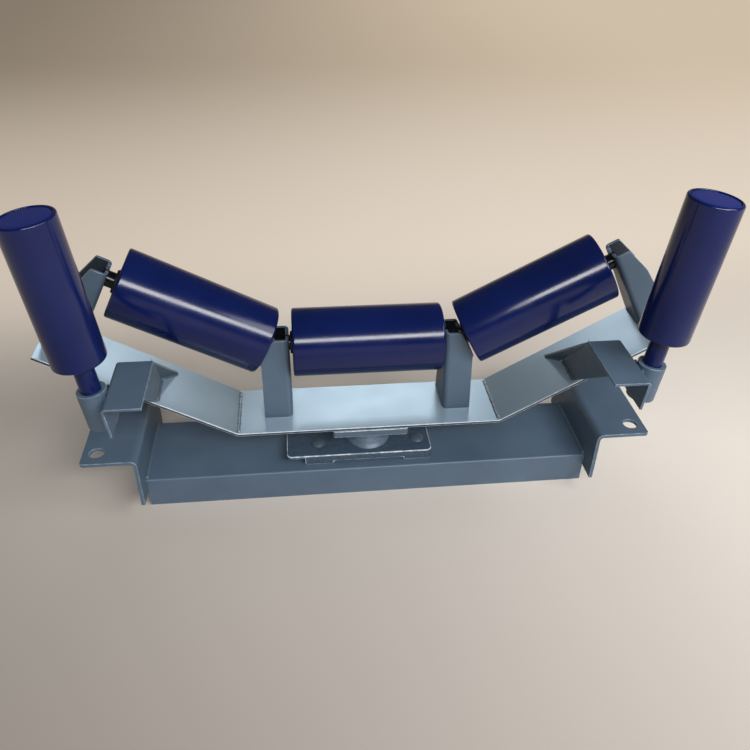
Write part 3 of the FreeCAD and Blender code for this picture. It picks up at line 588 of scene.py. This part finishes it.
HOUSING = enamel("black pressed housing", srgb(28, 30, 36), srgb(20, 21, 26), roughness=0.45)
RUBBER = dull_rubber("black seal rubber", srgb(34, 34, 36), srgb(18, 18, 20))
STEEL = turned_metal("ground bearing steel", srgb(205, 207, 210), srgb(170, 173, 178),
                     roughness=0.22, metallic=1.0, line_scale=(4, 4, 1))
BRONZE = turned_metal("turned bush bronze", srgb(190, 150, 90), srgb(160, 120, 70),
                      roughness=0.35, metallic=1.0, line_scale=(1, 1, 8))


# Finishes of the solids

def dress(node, face, edge=None, width=0.7 * MM, clamp=False):
    """Gives a solid its finish, and a small round with the edge finish along its sharp edges. A clamp
    narrows the round to the solid's shortest sides."""
    solid = frame["nodes"][node]
    solid.data.materials.clear()
    solid.data.materials.append(face)
    if edge is None:
        return
    solid.data.materials.append(edge)
    weld = solid.modifiers.new("weld", "WELD")
    weld.merge_threshold = 1e-5
    flat = solid.modifiers.new("flat", "DECIMATE")
    flat.decimate_type = "DISSOLVE"
    flat.angle_limit = math.radians(0.4)
    rounding = solid.modifiers.new("edge", "BEVEL")
    rounding.width = width
    rounding.segments = 2
    rounding.limit_method = "ANGLE"
    rounding.angle_limit = math.radians(32)
    rounding.material = 1
    rounding.use_clamp_overlap = clamp
    shading = solid.modifiers.new("shade", "WEIGHTED_NORMAL")
    shading.keep_sharp = True


def dress_solids():
    """Finish of every solid that stays in view."""
    for node in ("base_beam", "left_foot", "right_foot"):
        dress(node, SLATE, SLATE_EDGE, 0.9 * MM)
    dress("pivot_top_plate", SLATE, CAST_EDGE, 0.9 * MM)
    for side in ("left", "right"):
        dress(f"{side}_centre_bracket", CENTRE_BRACKET, SLATE_EDGE)
        dress(f"{side}_end_bracket", END_BRACKET, SLATE_EDGE)
        dress(f"{side}_shaft_seat", SLATE, SLATE_EDGE, clamp=True)
        for name in ("guide_arm", "arm_web", "arm_brace", "guide_socket"):
            dress(f"{side}_{name}", SLATE, SLATE_EDGE)
        dress(f"{side}_guide_spindle", NAVY, NAVY_EDGE, 0.5 * MM)
        dress(f"{side}_wing_roller_shaft", SHAFT)
    dress("centre_roller_shaft", SHAFT)
    dress("cross_plate", PALE, PALE_EDGE, 0.8 * MM)
    dress("pivot_base_casting", CAST_PAINTED_SHADE, CAST_EDGE, 1.2 * MM)
    dress("pivot_bush", BRONZE)
    for node in frame["nodes"]:
        if "bearing" in node or node == "king_pin_washer":
            dress(node, STEEL)


# Rollers: profiles are corners (along, radius, rounding) in millimetres, from the axis' origin

def profile_line(corners, closed=True, steps=6):
    """Rounded line of a profile, from millimetres to metres."""
    return rounded_line(np.array(corners) * MM, closed, steps)


def at_both_ends(corners):
    """A roller end's profile and its mirror image about the roller's middle."""
    near = profile_line(corners)
    far = near * np.array([-1.0, 1]) + np.array([ROLLER_LENGTH, 0])
    return [near, far]


def trough_profiles():
    """Tube with rolled ends, end housing pressed to a cup and a rim, and seal with two lips."""
    length, radius, bore = ROLLER_LENGTH / MM, 44.5, 40.5
    seat, cup, stop, rim = 23.5, 26.5, 20, 37.5
    tube = [(0, bore, 0.8), (0, radius, 3), (length, radius, 3), (length, bore, 0.8)]
    housing = [(2, seat, 0.4), (2, cup, 1.2), (14, cup, 4), (9, rim, 4), (3.5, rim, 1), (3.5, bore, 0.6),
               (15.5, bore, 0.8), (17, cup, 3), (22, cup, 1), (22, stop, 0.4), (19, stop, 0.4),
               (19, seat, 0.2)]
    shaft_lip, collar, face, groove = 10.6, -3, -0.6, 0.9
    seal = [(collar, shaft_lip, 0.4), (collar, 14.6, 1.2), (face, 14.6, 0.6), (face, 16.2, 0.3),
            (groove, 16.2, 0.3), (groove, 18.4, 0.3), (-0.2, 18.4, 0.3), (-0.2, 20, 0.3), (groove, 20, 0.3),
            (groove, 21.6, 0.3), (2, seat, 0.2), (5, seat, 0.2), (5, 13.6, 0.2), (2, 13.6, 0.2),
            (2, shaft_lip, 0.2)]
    return tube, housing, seal


def build_trough_rollers():
    """Three rollers, each a tube with rolled ends, two pressed housings and two lipped seals."""
    tube, housing, seal = trough_profiles()
    starts = {
        "centre_roller": (ROW_MIDDLE - ROLLER_LENGTH / 2 * X_AXIS, X_AXIS),
        "right_wing_roller": (WING_ORIGIN, TROUGH_AXIS),
        "left_wing_roller": (WING_ORIGIN * MIRROR_X, TROUGH_AXIS * MIRROR_X)}
    for name, (origin, axis) in starts.items():
        skin = turned(profile_line(tube, steps=9), origin, axis, columns=128, closed=True)
        piece(f"{name}_painted_tube", [skin], NAVY, name, [f"{name}_shell"], sharp=50)
        cups = [turned(profile, origin, axis, columns=96, closed=True) for profile in at_both_ends(housing)]
        piece(f"{name}_pressed_housings", cups, HOUSING, name,
              [f"{name}_end_housings"], sharp=50)
        lips = [turned(profile, origin, axis, columns=96, closed=True) for profile in at_both_ends(seal)]
        piece(f"{name}_lipped_seals", lips, RUBBER, name, [f"{name}_seals"], sharp=50)


def guide_profiles():
    """Tube with rolled rims, top cap with a shallow dished face, and the lower and upper bearing seats."""
    low, high, radius, bore = 82, 240, 28.5, 25
    seat, stop, spindle_gap = 20, 17, 11.8
    tube = [(low, bore, 0.8), (low, radius, 2.5), (high, radius, 2.5), (high, bore, 1)]
    cap = [(232, 0, 0), (232, bore, 0.3), (237.6, bore, 0.4), (239, 24.2, 0.8), (239.3, 20, 1),
           (239.4, 0, 0)]
    lower = [(83, spindle_gap, 0.3), (83, bore, 0.5), (102, bore, 0.2), (102, stop, 0.3), (99, stop, 0.2),
             (99, seat, 0.2), (87, seat, 0.2), (87, spindle_gap, 0.2)]
    upper = [(204, stop, 0.2), (204, bore, 0.2), (219, bore, 0.2), (219, seat, 0.2), (207, seat, 0.2),
             (207, stop, 0.2)]
    return tube, cap, lower, upper


def build_guide_rollers():
    """Two upright rollers, each a tube, a seated cap and two bearing seats."""
    tube, cap, lower, upper = guide_profiles()
    for side in ("left", "right"):
        body = f"{side}_guide_roller"
        origin, axis = spin_axis(body)
        skin = turned(profile_line(tube, steps=9), origin, axis, columns=112, closed=True)
        piece(f"{body}_painted_tube", [skin], NAVY, body, [f"{body}_shell"], sharp=50)
        cap_line = np.maximum(profile_line(cap, closed=False), [0, POLE])
        lid = turned(cap_line, origin, axis, columns=96, closed=False)
        piece(f"{body}_seated_cap", [lid], NAVY_CAP_PAINTED_LIGHTER, body, [f"{body}_top_cap"], sharp=40)
        seats = [turned(profile_line(seat), origin, axis, columns=80, closed=True) for seat in (lower, upper)]
        piece(f"{body}_bearing_seats", seats, HOUSING, body, [f"{body}_housings"], sharp=50)


# Pivot

def build_boss_foot():
    """Cast skirt that spreads from the pivot boss down to the casting: a ring whose outer side widens as a
    cone with rounded ends, drawn in across to an oval; corners are (height, radius, rounding) in
    millimetres."""
    foot, top, bore, reach, draw_in = -36, -12, 27, 40.5, 0.78
    corners = [(foot, bore, 0), (foot, reach, 0.2), (-34.6, reach, 0.8), (-31, 37, 4), (top, 28.4, 1.5),
               (top, bore, 0)]
    ring = turned(profile_line(corners, steps=9), np.zeros(3), Z_AXIS, columns=128, closed=True)
    points, quads, triangles = ring
    oval = (points * np.array([draw_in, 1, 1]), quads, triangles)
    piece("pivot_boss_skirt", [oval], BOSS_PAINTED_LIT, "base_frame", sharp=50)


# Fasteners

def heights(node):
    """Lowest and highest level of a solid."""
    low, high = solid_box(node)
    return low[2], high[2]


def build_casting_bolts():
    """Four dome-headed bolts with square necks that hold the pivot casting, their washers and nuts."""
    radius, pitch, overlap = 4 * MM, 1.25 * MM, 0.5 * MM
    head_radius, head_height = 9.75 * MM, 4.5 * MM
    neck_side, neck_length, thread_length = 8.4 * MM, 5 * MM, 12.6 * MM
    hole_radius, washer_radius, nut_flats = 4.5 * MM, 8 * MM, 13 * MM
    bolt_xs, bolt_ys = (-69.5, 66.5), (-22, 22)
    tip, head_top = heights("pivot_base_bolts")
    seat = head_top - head_height
    thread_top = tip + thread_length
    bolt = [dome(head_radius, seat, head_top),
            square_bar(neck_side, seat - neck_length, seat),
            shank(radius, thread_top - overlap, seat - overlap),
            threaded_end(radius, pitch, tip, thread_top)]
    ring = washer(hole_radius, washer_radius, *heights("pivot_base_washers"), np.zeros(3), Z_AXIS)
    nut = hex_nut(nut_flats, 2 * radius, *heights("pivot_base_nuts"))
    places = [np.array([x, y, 0]) * MM for x in bolt_xs for y in bolt_ys]
    for name, skins in (("bolts", bolt), ("washers", [ring]), ("nuts", [nut])):
        placed = [shifted(skin, place) for place in places for skin in skins]
        piece(f"pivot_base_{name}_finished", placed, FASTENER, "base_frame",
              [f"pivot_base_{name}"])


def build_king_pin():
    """King pin with a threaded end, and its nut."""
    radius, thread_radius, pitch, overlap = 12 * MM, 10 * MM, 2.5 * MM, 0.4 * MM
    thread_length, nut_flats = 20 * MM, 30 * MM
    tip, top = heights("king_pin")
    shoulder = tip + thread_length
    pin = [shank(radius, shoulder, top), threaded_end(thread_radius, pitch, tip, shoulder + overlap)]
    piece("king_pin_finished", pin, STEEL, "swivel_frame", ["king_pin"])
    nut = hex_nut(nut_flats, 2 * thread_radius, *heights("king_pin_nut"))
    piece("king_pin_nut_finished", [nut], STEEL, "swivel_frame", ["king_pin_nut"])


def build_spindle_nuts():
    """Nut and washer under each guide socket, on the guide's leaning axis."""
    nut_low, nut_high, washer_high = 1.5 * MM, 11.5 * MM, 14 * MM
    nut_flats, nut_bore, hole_radius, washer_radius = 18 * MM, 12 * MM, 6.2 * MM, 12 * MM
    nut = carried(hex_nut(nut_flats, nut_bore, nut_low, nut_high), GUIDE_ORIGIN, GUIDE_AXIS)
    ring = washer(hole_radius, washer_radius, nut_high, washer_high, GUIDE_ORIGIN, GUIDE_AXIS)
    for name, skin in (("nuts", nut), ("washers", ring)):
        piece(f"guide_spindle_{name}_finished", [skin, mirrored(skin)], FASTENER, "swivel_frame",
              [f"guide_spindle_{name}"])


# Welds

WELD_STEP = 0.5 * MM
RIPPLE_PITCH = 3.2 * MM


def weld_bead(path, along_face, up_face, leg, bulge=0.3):
    """Fillet weld: a section carried along a path. Across it, from 0 to 1, the section runs straight from the
    foot on one plate to the foot on the other plus a parabola; along it, crescent ripples raise the parabola
    once a pitch, the leg wanders by two slow sine waves, and both ends shrink as a quarter of an ellipse."""
    slow_waves = ((0.07, 310, 1.3), (0.05, 730, 0.4))    # share of the leg, radians to the metre, start
    end_length, root_depth, bow = 1.2 * leg, 0.4 * MM, 1.6
    length = running_length(path)[:, None]
    across = np.linspace(0, 1, 9)[None, :]
    wander = 1 + sum(share * np.sin(length * pace + start) for share, pace, start in slow_waves)
    from_end = np.minimum(length, length[-1] - length)
    shrink = np.sqrt(np.clip(1 - (1 - np.clip(from_end / end_length, 0, 1)) ** 2, 0.02, 1))
    size = leg * wander * shrink
    crescent = np.abs(np.sin(np.pi * (length / RIPPLE_PITCH + bow * (across - 0.5) ** 2)))
    lift = bulge * 4 * across * (1 - across) * (0.8 + 0.28 * crescent)
    along_face = np.broadcast_to(along_face, path.shape)
    up_face = np.broadcast_to(up_face, path.shape)
    middle = unit(along_face + up_face)
    face = (path[:, None] + (size * (1 - across))[..., None] * along_face[:, None]
            + (size * across)[..., None] * up_face[:, None] + (size * lift)[..., None] * middle[:, None])
    root = (path - root_depth * (along_face + up_face))[:, None]
    return closed_grid(np.concatenate([face, root], 1), False)


def foot_weld(line, to_point, normal, leg):
    """Weld round a bracket's foot: the outward side is the path's tangent crossed with the plate's normal,
    and the wall side leans inwards with the bracket's flanges."""
    path = to_point(resampled(line, WELD_STEP))
    tangent = unit(np.gradient(path, axis=0))
    outward = unit(np.cross(tangent, normal))
    lean = BRACKET_TAPER * np.abs(outward[:, 1:2])
    return weld_bead(path, outward, unit(normal - outward * lean), leg)


def straight_weld(start, end, along_face, up_face, leg, bulge=0.3):
    """Weld along a straight joint between two points."""
    path = resampled(np.array([start, end], float), WELD_STEP)
    return weld_bead(path, unit(along_face), unit(up_face), leg, bulge)


def wing_height(x):
    """Height of the right wing's upper face at x."""
    return PLATE_TOP + (x - FOLD_X) * WING_RISE


def on_wing(x, y):
    """Point of the right wing's upper face at x and y."""
    return np.array([x, y, wing_height(x)])


def centre_foot_points(line):
    """Points of the centre bracket's foot, given along and across the roller, set down on the plate."""
    return np.stack([line[:, 0], ROW_MIDDLE[1] + line[:, 1], np.full(len(line), PLATE_TOP)], -1)


def end_foot_points(line):
    """Points of the end bracket's foot, given along and across the roller, set down on the wing: each drops
    square to the roller's axis until it meets the wing's face."""
    cosine, _, sine = TROUGH_AXIS
    along = line[:, 0]
    drop = wing_height(WING_ORIGIN[0]) - WING_ORIGIN[2] + along * (cosine * WING_RISE - sine)
    drop = drop / (cosine + sine * WING_RISE)
    return np.stack([WING_ORIGIN[0] + along * cosine - drop * sine, ROW_MIDDLE[1] + line[:, 1],
                     WING_ORIGIN[2] + along * sine + drop * cosine], -1)


def foot_line(web, depth, half_width, gap):
    """Foot of a bracket's front flange and web, joined by the bend; the gap is left at the back."""
    corners = [(web + depth, -half_width, 0), (web, -half_width, BRACKET_BEND), (web, half_width - gap, 0)]
    return rounded_line(corners, closed=False, steps=12)


def bracket_welds():
    """Beads round the feet of the centre bracket and the end bracket, in front and beside the roller."""
    leg = 3 * MM
    centre = foot_line(CENTRE_WEB, depth=35.5 * MM, half_width=BRACKET_HALF_BASE, gap=5.5 * MM)
    end = foot_line(END_WEB, depth=38 * MM, half_width=33 * MM, gap=5 * MM)
    return {"centre_bracket_weld": foot_weld(centre, centre_foot_points, Z_AXIS, leg),
            "end_bracket_weld": foot_weld(end, end_foot_points, WING_NORMAL, leg)}


def web_welds():
    """Beads of the arm web: on the wing, inside and outside, and under the arm."""
    arm_inner_x, arm_under = WEB_LOW[0], WEB_HIGH[2]
    up_web = np.array([arm_inner_x - WEB_BASE_X, 0, arm_under - wing_height(WEB_BASE_X)])
    thick_at_wing, thick_at_arm = 2.76 * MM, 3.05 * MM    # the leaning web's thickness along x
    outer_x = WEB_BASE_X + thick_at_wing
    seat_x = arm_inner_x + thick_at_arm
    front, inner_back, outer_back, leg = -41.5 * MM, 3.5 * MM, 1 * MM, 3.2 * MM
    seat_front, seat_back, seat_leg = -165 * MM, -100 * MM, 3 * MM
    return {
        "arm_web_inner_weld": straight_weld(on_wing(WEB_BASE_X, front), on_wing(WEB_BASE_X, inner_back),
                                            -WING_UP_SLOPE, up_web, leg),
        "arm_web_outer_weld": straight_weld(on_wing(outer_x, front), on_wing(outer_x, outer_back),
                                            WING_UP_SLOPE, up_web, leg),
        "arm_seat_weld": straight_weld((seat_x, seat_front, arm_under), (seat_x, seat_back, arm_under),
                                       X_AXIS, -up_web, seat_leg)}


def brace_weld():
    """Bead at the front of the arm brace's foot, from the web's heel to the brace's tip on the wing."""
    half_web, heel_gap, tip_gap, leg = 1.5 * MM, 5 * MM, 2 * MM, 3 * MM
    head_y, tip_x, tip_y = -97.5 * MM, 251 * MM, 32 * MM
    head = np.array([WEB_LOW[0] + half_web, head_y, WEB_HIGH[2]])
    heel = on_wing(WEB_BASE_X + half_web, WEB_HIGH[1])
    tip = on_wing(tip_x, tip_y)
    run = unit(tip - heel)
    rise = head - heel - run * np.dot(head - heel, run)
    front = np.cross(run, WING_NORMAL)
    front = front if front[1] < 0 else -front
    return straight_weld(heel + run * heel_gap, tip - run * tip_gap, front, rise, leg)


def socket_weld():
    """Two upright beads where the guide socket meets the arm, one on each side of their line of contact."""
    inward, beside, low, high, leg = 15.2 * MM, 9.5 * MM, 9 * MM, 42 * MM, 3.2 * MM
    across_share, side_share = 0.94, 0.34
    across = np.array([GUIDE_AXIS[2], 0, -GUIDE_AXIS[0]])
    beads = []
    for side in (-Y_AXIS, Y_AXIS):
        root = GUIDE_ORIGIN - inward * across + beside * side
        start, end = root + low * GUIDE_AXIS, root + high * GUIDE_AXIS
        beads.append(straight_weld(start, end, side, across_share * across + side_share * side, leg))
    return joined(beads)


def weld_pair(name, bead, material, body):
    """A bead of the right half and its left-hand twin."""
    piece(f"right_{name}", [bead], material, body, sharp=60)
    piece(f"left_{name}", [mirrored(bead)], material, body, sharp=60)


def build_welds():
    """Beads that join brackets, arms, webs, braces, sockets, plate folds and feet, with their left twins."""
    beads = {**bracket_welds(), **web_welds(),
             "arm_brace_weld": brace_weld(), "guide_socket_weld": socket_weld()}
    for name, bead in beads.items():
        weld_pair(name, bead, WELD, "swivel_frame")
    half_fold, half_seam = PLATE_HALF_WIDTH - 3 * MM, 59 * MM
    fold = straight_weld((FOLD_X, -half_fold, PLATE_TOP), (FOLD_X, half_fold, PLATE_TOP),
                         -X_AXIS, WING_UP_SLOPE, leg=2.8 * MM, bulge=0.6)
    weld_pair("fold_weld", fold, PALE_WELD, "swivel_frame")
    end, _, top = BEAM_HIGH
    seam = straight_weld((end, -half_seam, top), (end, half_seam, top), -X_AXIS, Z_AXIS, leg=3.5 * MM)
    weld_pair("foot_weld", seam, WELD, "base_frame")


# Floor, light and camera

def floor_finish():
    """Warm pale floor with a faint mottle, and painted shade that darkens it in front at the left. Near the
    idler it is lit by the lamps; further off it blends, by distance from the middle, into an emitted tone
    with painted shade, darker towards the left and further back, that only the camera and low reflections
    see."""
    finish = Finish("warm pale floor")
    x, y, z = finish.parts(finish.place)
    lit_radius, even_radius = 0.5, 1.3
    mottle = finish.spread(finish.noise(1.3, detail=5, roughness=0.6), *USUAL_NOISE)
    shade = finish.mix(mottle, srgb(241, 232, 222), srgb(236, 227, 217))
    # painted shade: the floor's colour darkens towards the front at the left
    painted_falloff_to_back = finish.spread(finish.calculate("ADD", finish.calculate("MULTIPLY", x, 0.55), y), -0.75, 0.3)
    finish.feed("Base Color", finish.mix(painted_falloff_to_back, srgb(150, 141, 134), shade))
    finish.rough(finish.noise(5, detail=3), 0.5, 0.62)
    # painted shade in the emitted far tone: darker towards the left and further back
    far = finish.mix(finish.spread(x, -1.8, 1.8, smooth=True), srgb(134, 122, 108), srgb(208, 191, 168))
    middle = finish.mix(finish.spread(x, -1.0, 0.6, smooth=True), srgb(206, 193, 178), srgb(228, 215, 199))
    glow = finish.nodes.new("ShaderNodeEmission")
    finish.links.new(finish.mix(finish.spread(y, 0.4, 2.7, smooth=True), middle, far), glow.inputs["Color"])
    ray = finish.nodes.new("ShaderNodeLightPath").outputs
    low_mirror = finish.calculate("MULTIPLY", ray["Is Glossy Ray"], finish.spread(z, 0.4, 1.4, 1.0, 0.0))
    seen = finish.calculate("MAXIMUM", ray["Is Camera Ray"], low_mirror)
    squares = [finish.calculate("MULTIPLY", value, value) for value in (x, y)]
    distance = finish.calculate("SQRT", finish.calculate("ADD", *squares))
    away = finish.spread(distance, lit_radius, even_radius, smooth=True)
    beyond = finish.calculate("MAXIMUM", away, finish.spread(y, 0.1, 0.75, smooth=True))
    blend = finish.nodes.new("ShaderNodeMixShader")
    finish.links.new(finish.calculate("MULTIPLY", seen, beyond), blend.inputs["Fac"])
    finish.links.new(finish.shader.outputs[0], blend.inputs[1])
    finish.links.new(glow.outputs[0], blend.inputs[2])
    finish.links.new(blend.outputs[0], finish.nodes["Material Output"].inputs["Surface"])
    return finish.material


def build_stage():
    """Floor that curves up into a backdrop all round: flat out to a radius, then rising as the square of the
    further distance, with one polygon at its middle."""
    rings, columns = 40, 96
    middle, flat, edge, backdrop = 0.01, 4.0, 9.0, 6.0
    radius = np.linspace(middle, edge, rings)[:, None]
    angle = round_angles(columns)[None, :]
    rise = BEAM_LOW[2] + backdrop * (np.clip(radius - flat, 0, None) / (edge - flat)) ** 2
    grid = np.stack([radius * np.cos(angle), radius * np.sin(angle), rise + 0 * angle], -1)
    faces = grid_faces(rings, columns, False, True)[:, ::-1].tolist()
    mesh = bpy.data.meshes.new("floor")
    mesh.from_pydata(grid.reshape(-1, 3).tolist(), [], faces + [list(range(columns))])
    mesh.shade_smooth()
    mesh.materials.append(floor_finish())
    floor = bpy.data.objects.new("floor", mesh)
    bpy.context.scene.collection.objects.link(floor)


def look_along(thing, place, forward, roll):
    """Stands a lamp or camera at a place, looking along a direction, and rolls it by an angle, anticlockwise
    as seen from behind."""
    forward = unit(forward)
    right = unit(np.cross(forward, Z_AXIS))
    up = np.cross(right, forward)
    turn = math.radians(roll)
    right, up = right * math.cos(turn) + up * math.sin(turn), up * math.cos(turn) - right * math.sin(turn)
    matrix = np.eye(4)
    matrix[:3, :4] = np.stack([right, up, -forward, place], -1)
    thing.matrix_world = Matrix(matrix.tolist())


def area_light(name, place, target, width, height, power):
    """Rectangular lamp at a place, facing a target, its width level; power in watts."""
    lamp = bpy.data.lights.new(name, "AREA")
    lamp.shape = "RECTANGLE"
    lamp.size = width
    lamp.size_y = height
    lamp.energy = power
    thing = bpy.data.objects.new(name, lamp)
    bpy.context.scene.collection.objects.link(thing)
    look_along(thing, place, np.subtract(target, place), 0)
    return thing


def build_light():
    """Faint room light, a strip lamp behind the camera that draws a line along each roller, a panel at the
    right, soft light from behind, and a window whose sheen only the cross plate and its fold beads take. The
    plate takes the strip's light without its mirror image."""
    world = bpy.data.worlds.new("room")
    bpy.context.scene.world = world
    world.use_nodes = True
    room = world.node_tree.nodes["Background"].inputs
    room["Color"].default_value = (1.0, 1.0, 1.0, 1.0)
    room["Strength"].default_value = 0.08
    strip_form = {"place": (0.6, -2.05, 1.64), "target": (0.05, 0, 0.12),
                  "width": 2.4, "height": 0.48, "power": 70}
    strip = area_light("strip", **strip_form)
    plain_strip = area_light("plain strip", **strip_form)
    area_light("side panel", (1.0, -0.6, 1.0), (0.1, 0, 0), width=0.7, height=0.6, power=7)
    behind = area_light("behind", (-0.3, 2.6, 1.2), (0, 0, 0.05), width=2.6, height=1.4, power=18)
    window = area_light("window", (0.215, 1.75, 1.26), (0.1, 0, 0), width=0.97, height=0.5, power=3.6)
    plate = bpy.data.collections.new("cross plate")
    rest = bpy.data.collections.new("all but the cross plate")
    folds = [bpy.data.objects[f"{side}_fold_weld"] for side in ("right", "left")]
    for lit in (frame["nodes"]["cross_plate"], *folds):
        plate.objects.link(lit)
        rest.objects.link(lit)
    for kept_out in rest.collection_objects:
        kept_out.light_linking.link_state = "EXCLUDE"
    strip.light_linking.receiver_collection = rest
    plain_strip.light_linking.receiver_collection = plate
    window.light_linking.receiver_collection = plate
    window.light_linking.blocker_collection = plate
    for lamp in (plain_strip, behind):
        lamp.visible_glossy = False


def build_camera():
    """Camera at the photograph's place: pitch below the horizon, yaw from the Y axis, and roll; the focal
    length is in pixels of a frame 750 pixels wide."""
    focal, frame_width, sensor = 753.162, 750, 36
    pitch, yaw, roll = 34.536, 6.475, 0.959
    place = np.array([-83.295, -820.920, 626.433]) * MM
    camera = bpy.data.cameras.new("camera")
    camera.sensor_width = sensor
    camera.lens = focal * sensor / frame_width
    camera.clip_start = 0.01
    thing = bpy.data.objects.new("camera", camera)
    bpy.context.scene.collection.objects.link(thing)
    level = math.cos(math.radians(pitch))
    forward = np.array([math.sin(math.radians(yaw)) * level, math.cos(math.radians(yaw)) * level,
                        -math.sin(math.radians(pitch))])
    look_along(thing, place, forward, roll)
    bpy.context.scene.camera = thing


dress_solids()
build_trough_rollers()
build_guide_rollers()
build_boss_foot()
build_casting_bolts()
build_king_pin()
build_spindle_nuts()
build_welds()
build_stage()
build_light()
build_camera()
bpy.context.scene.view_settings.view_transform = "Standard"
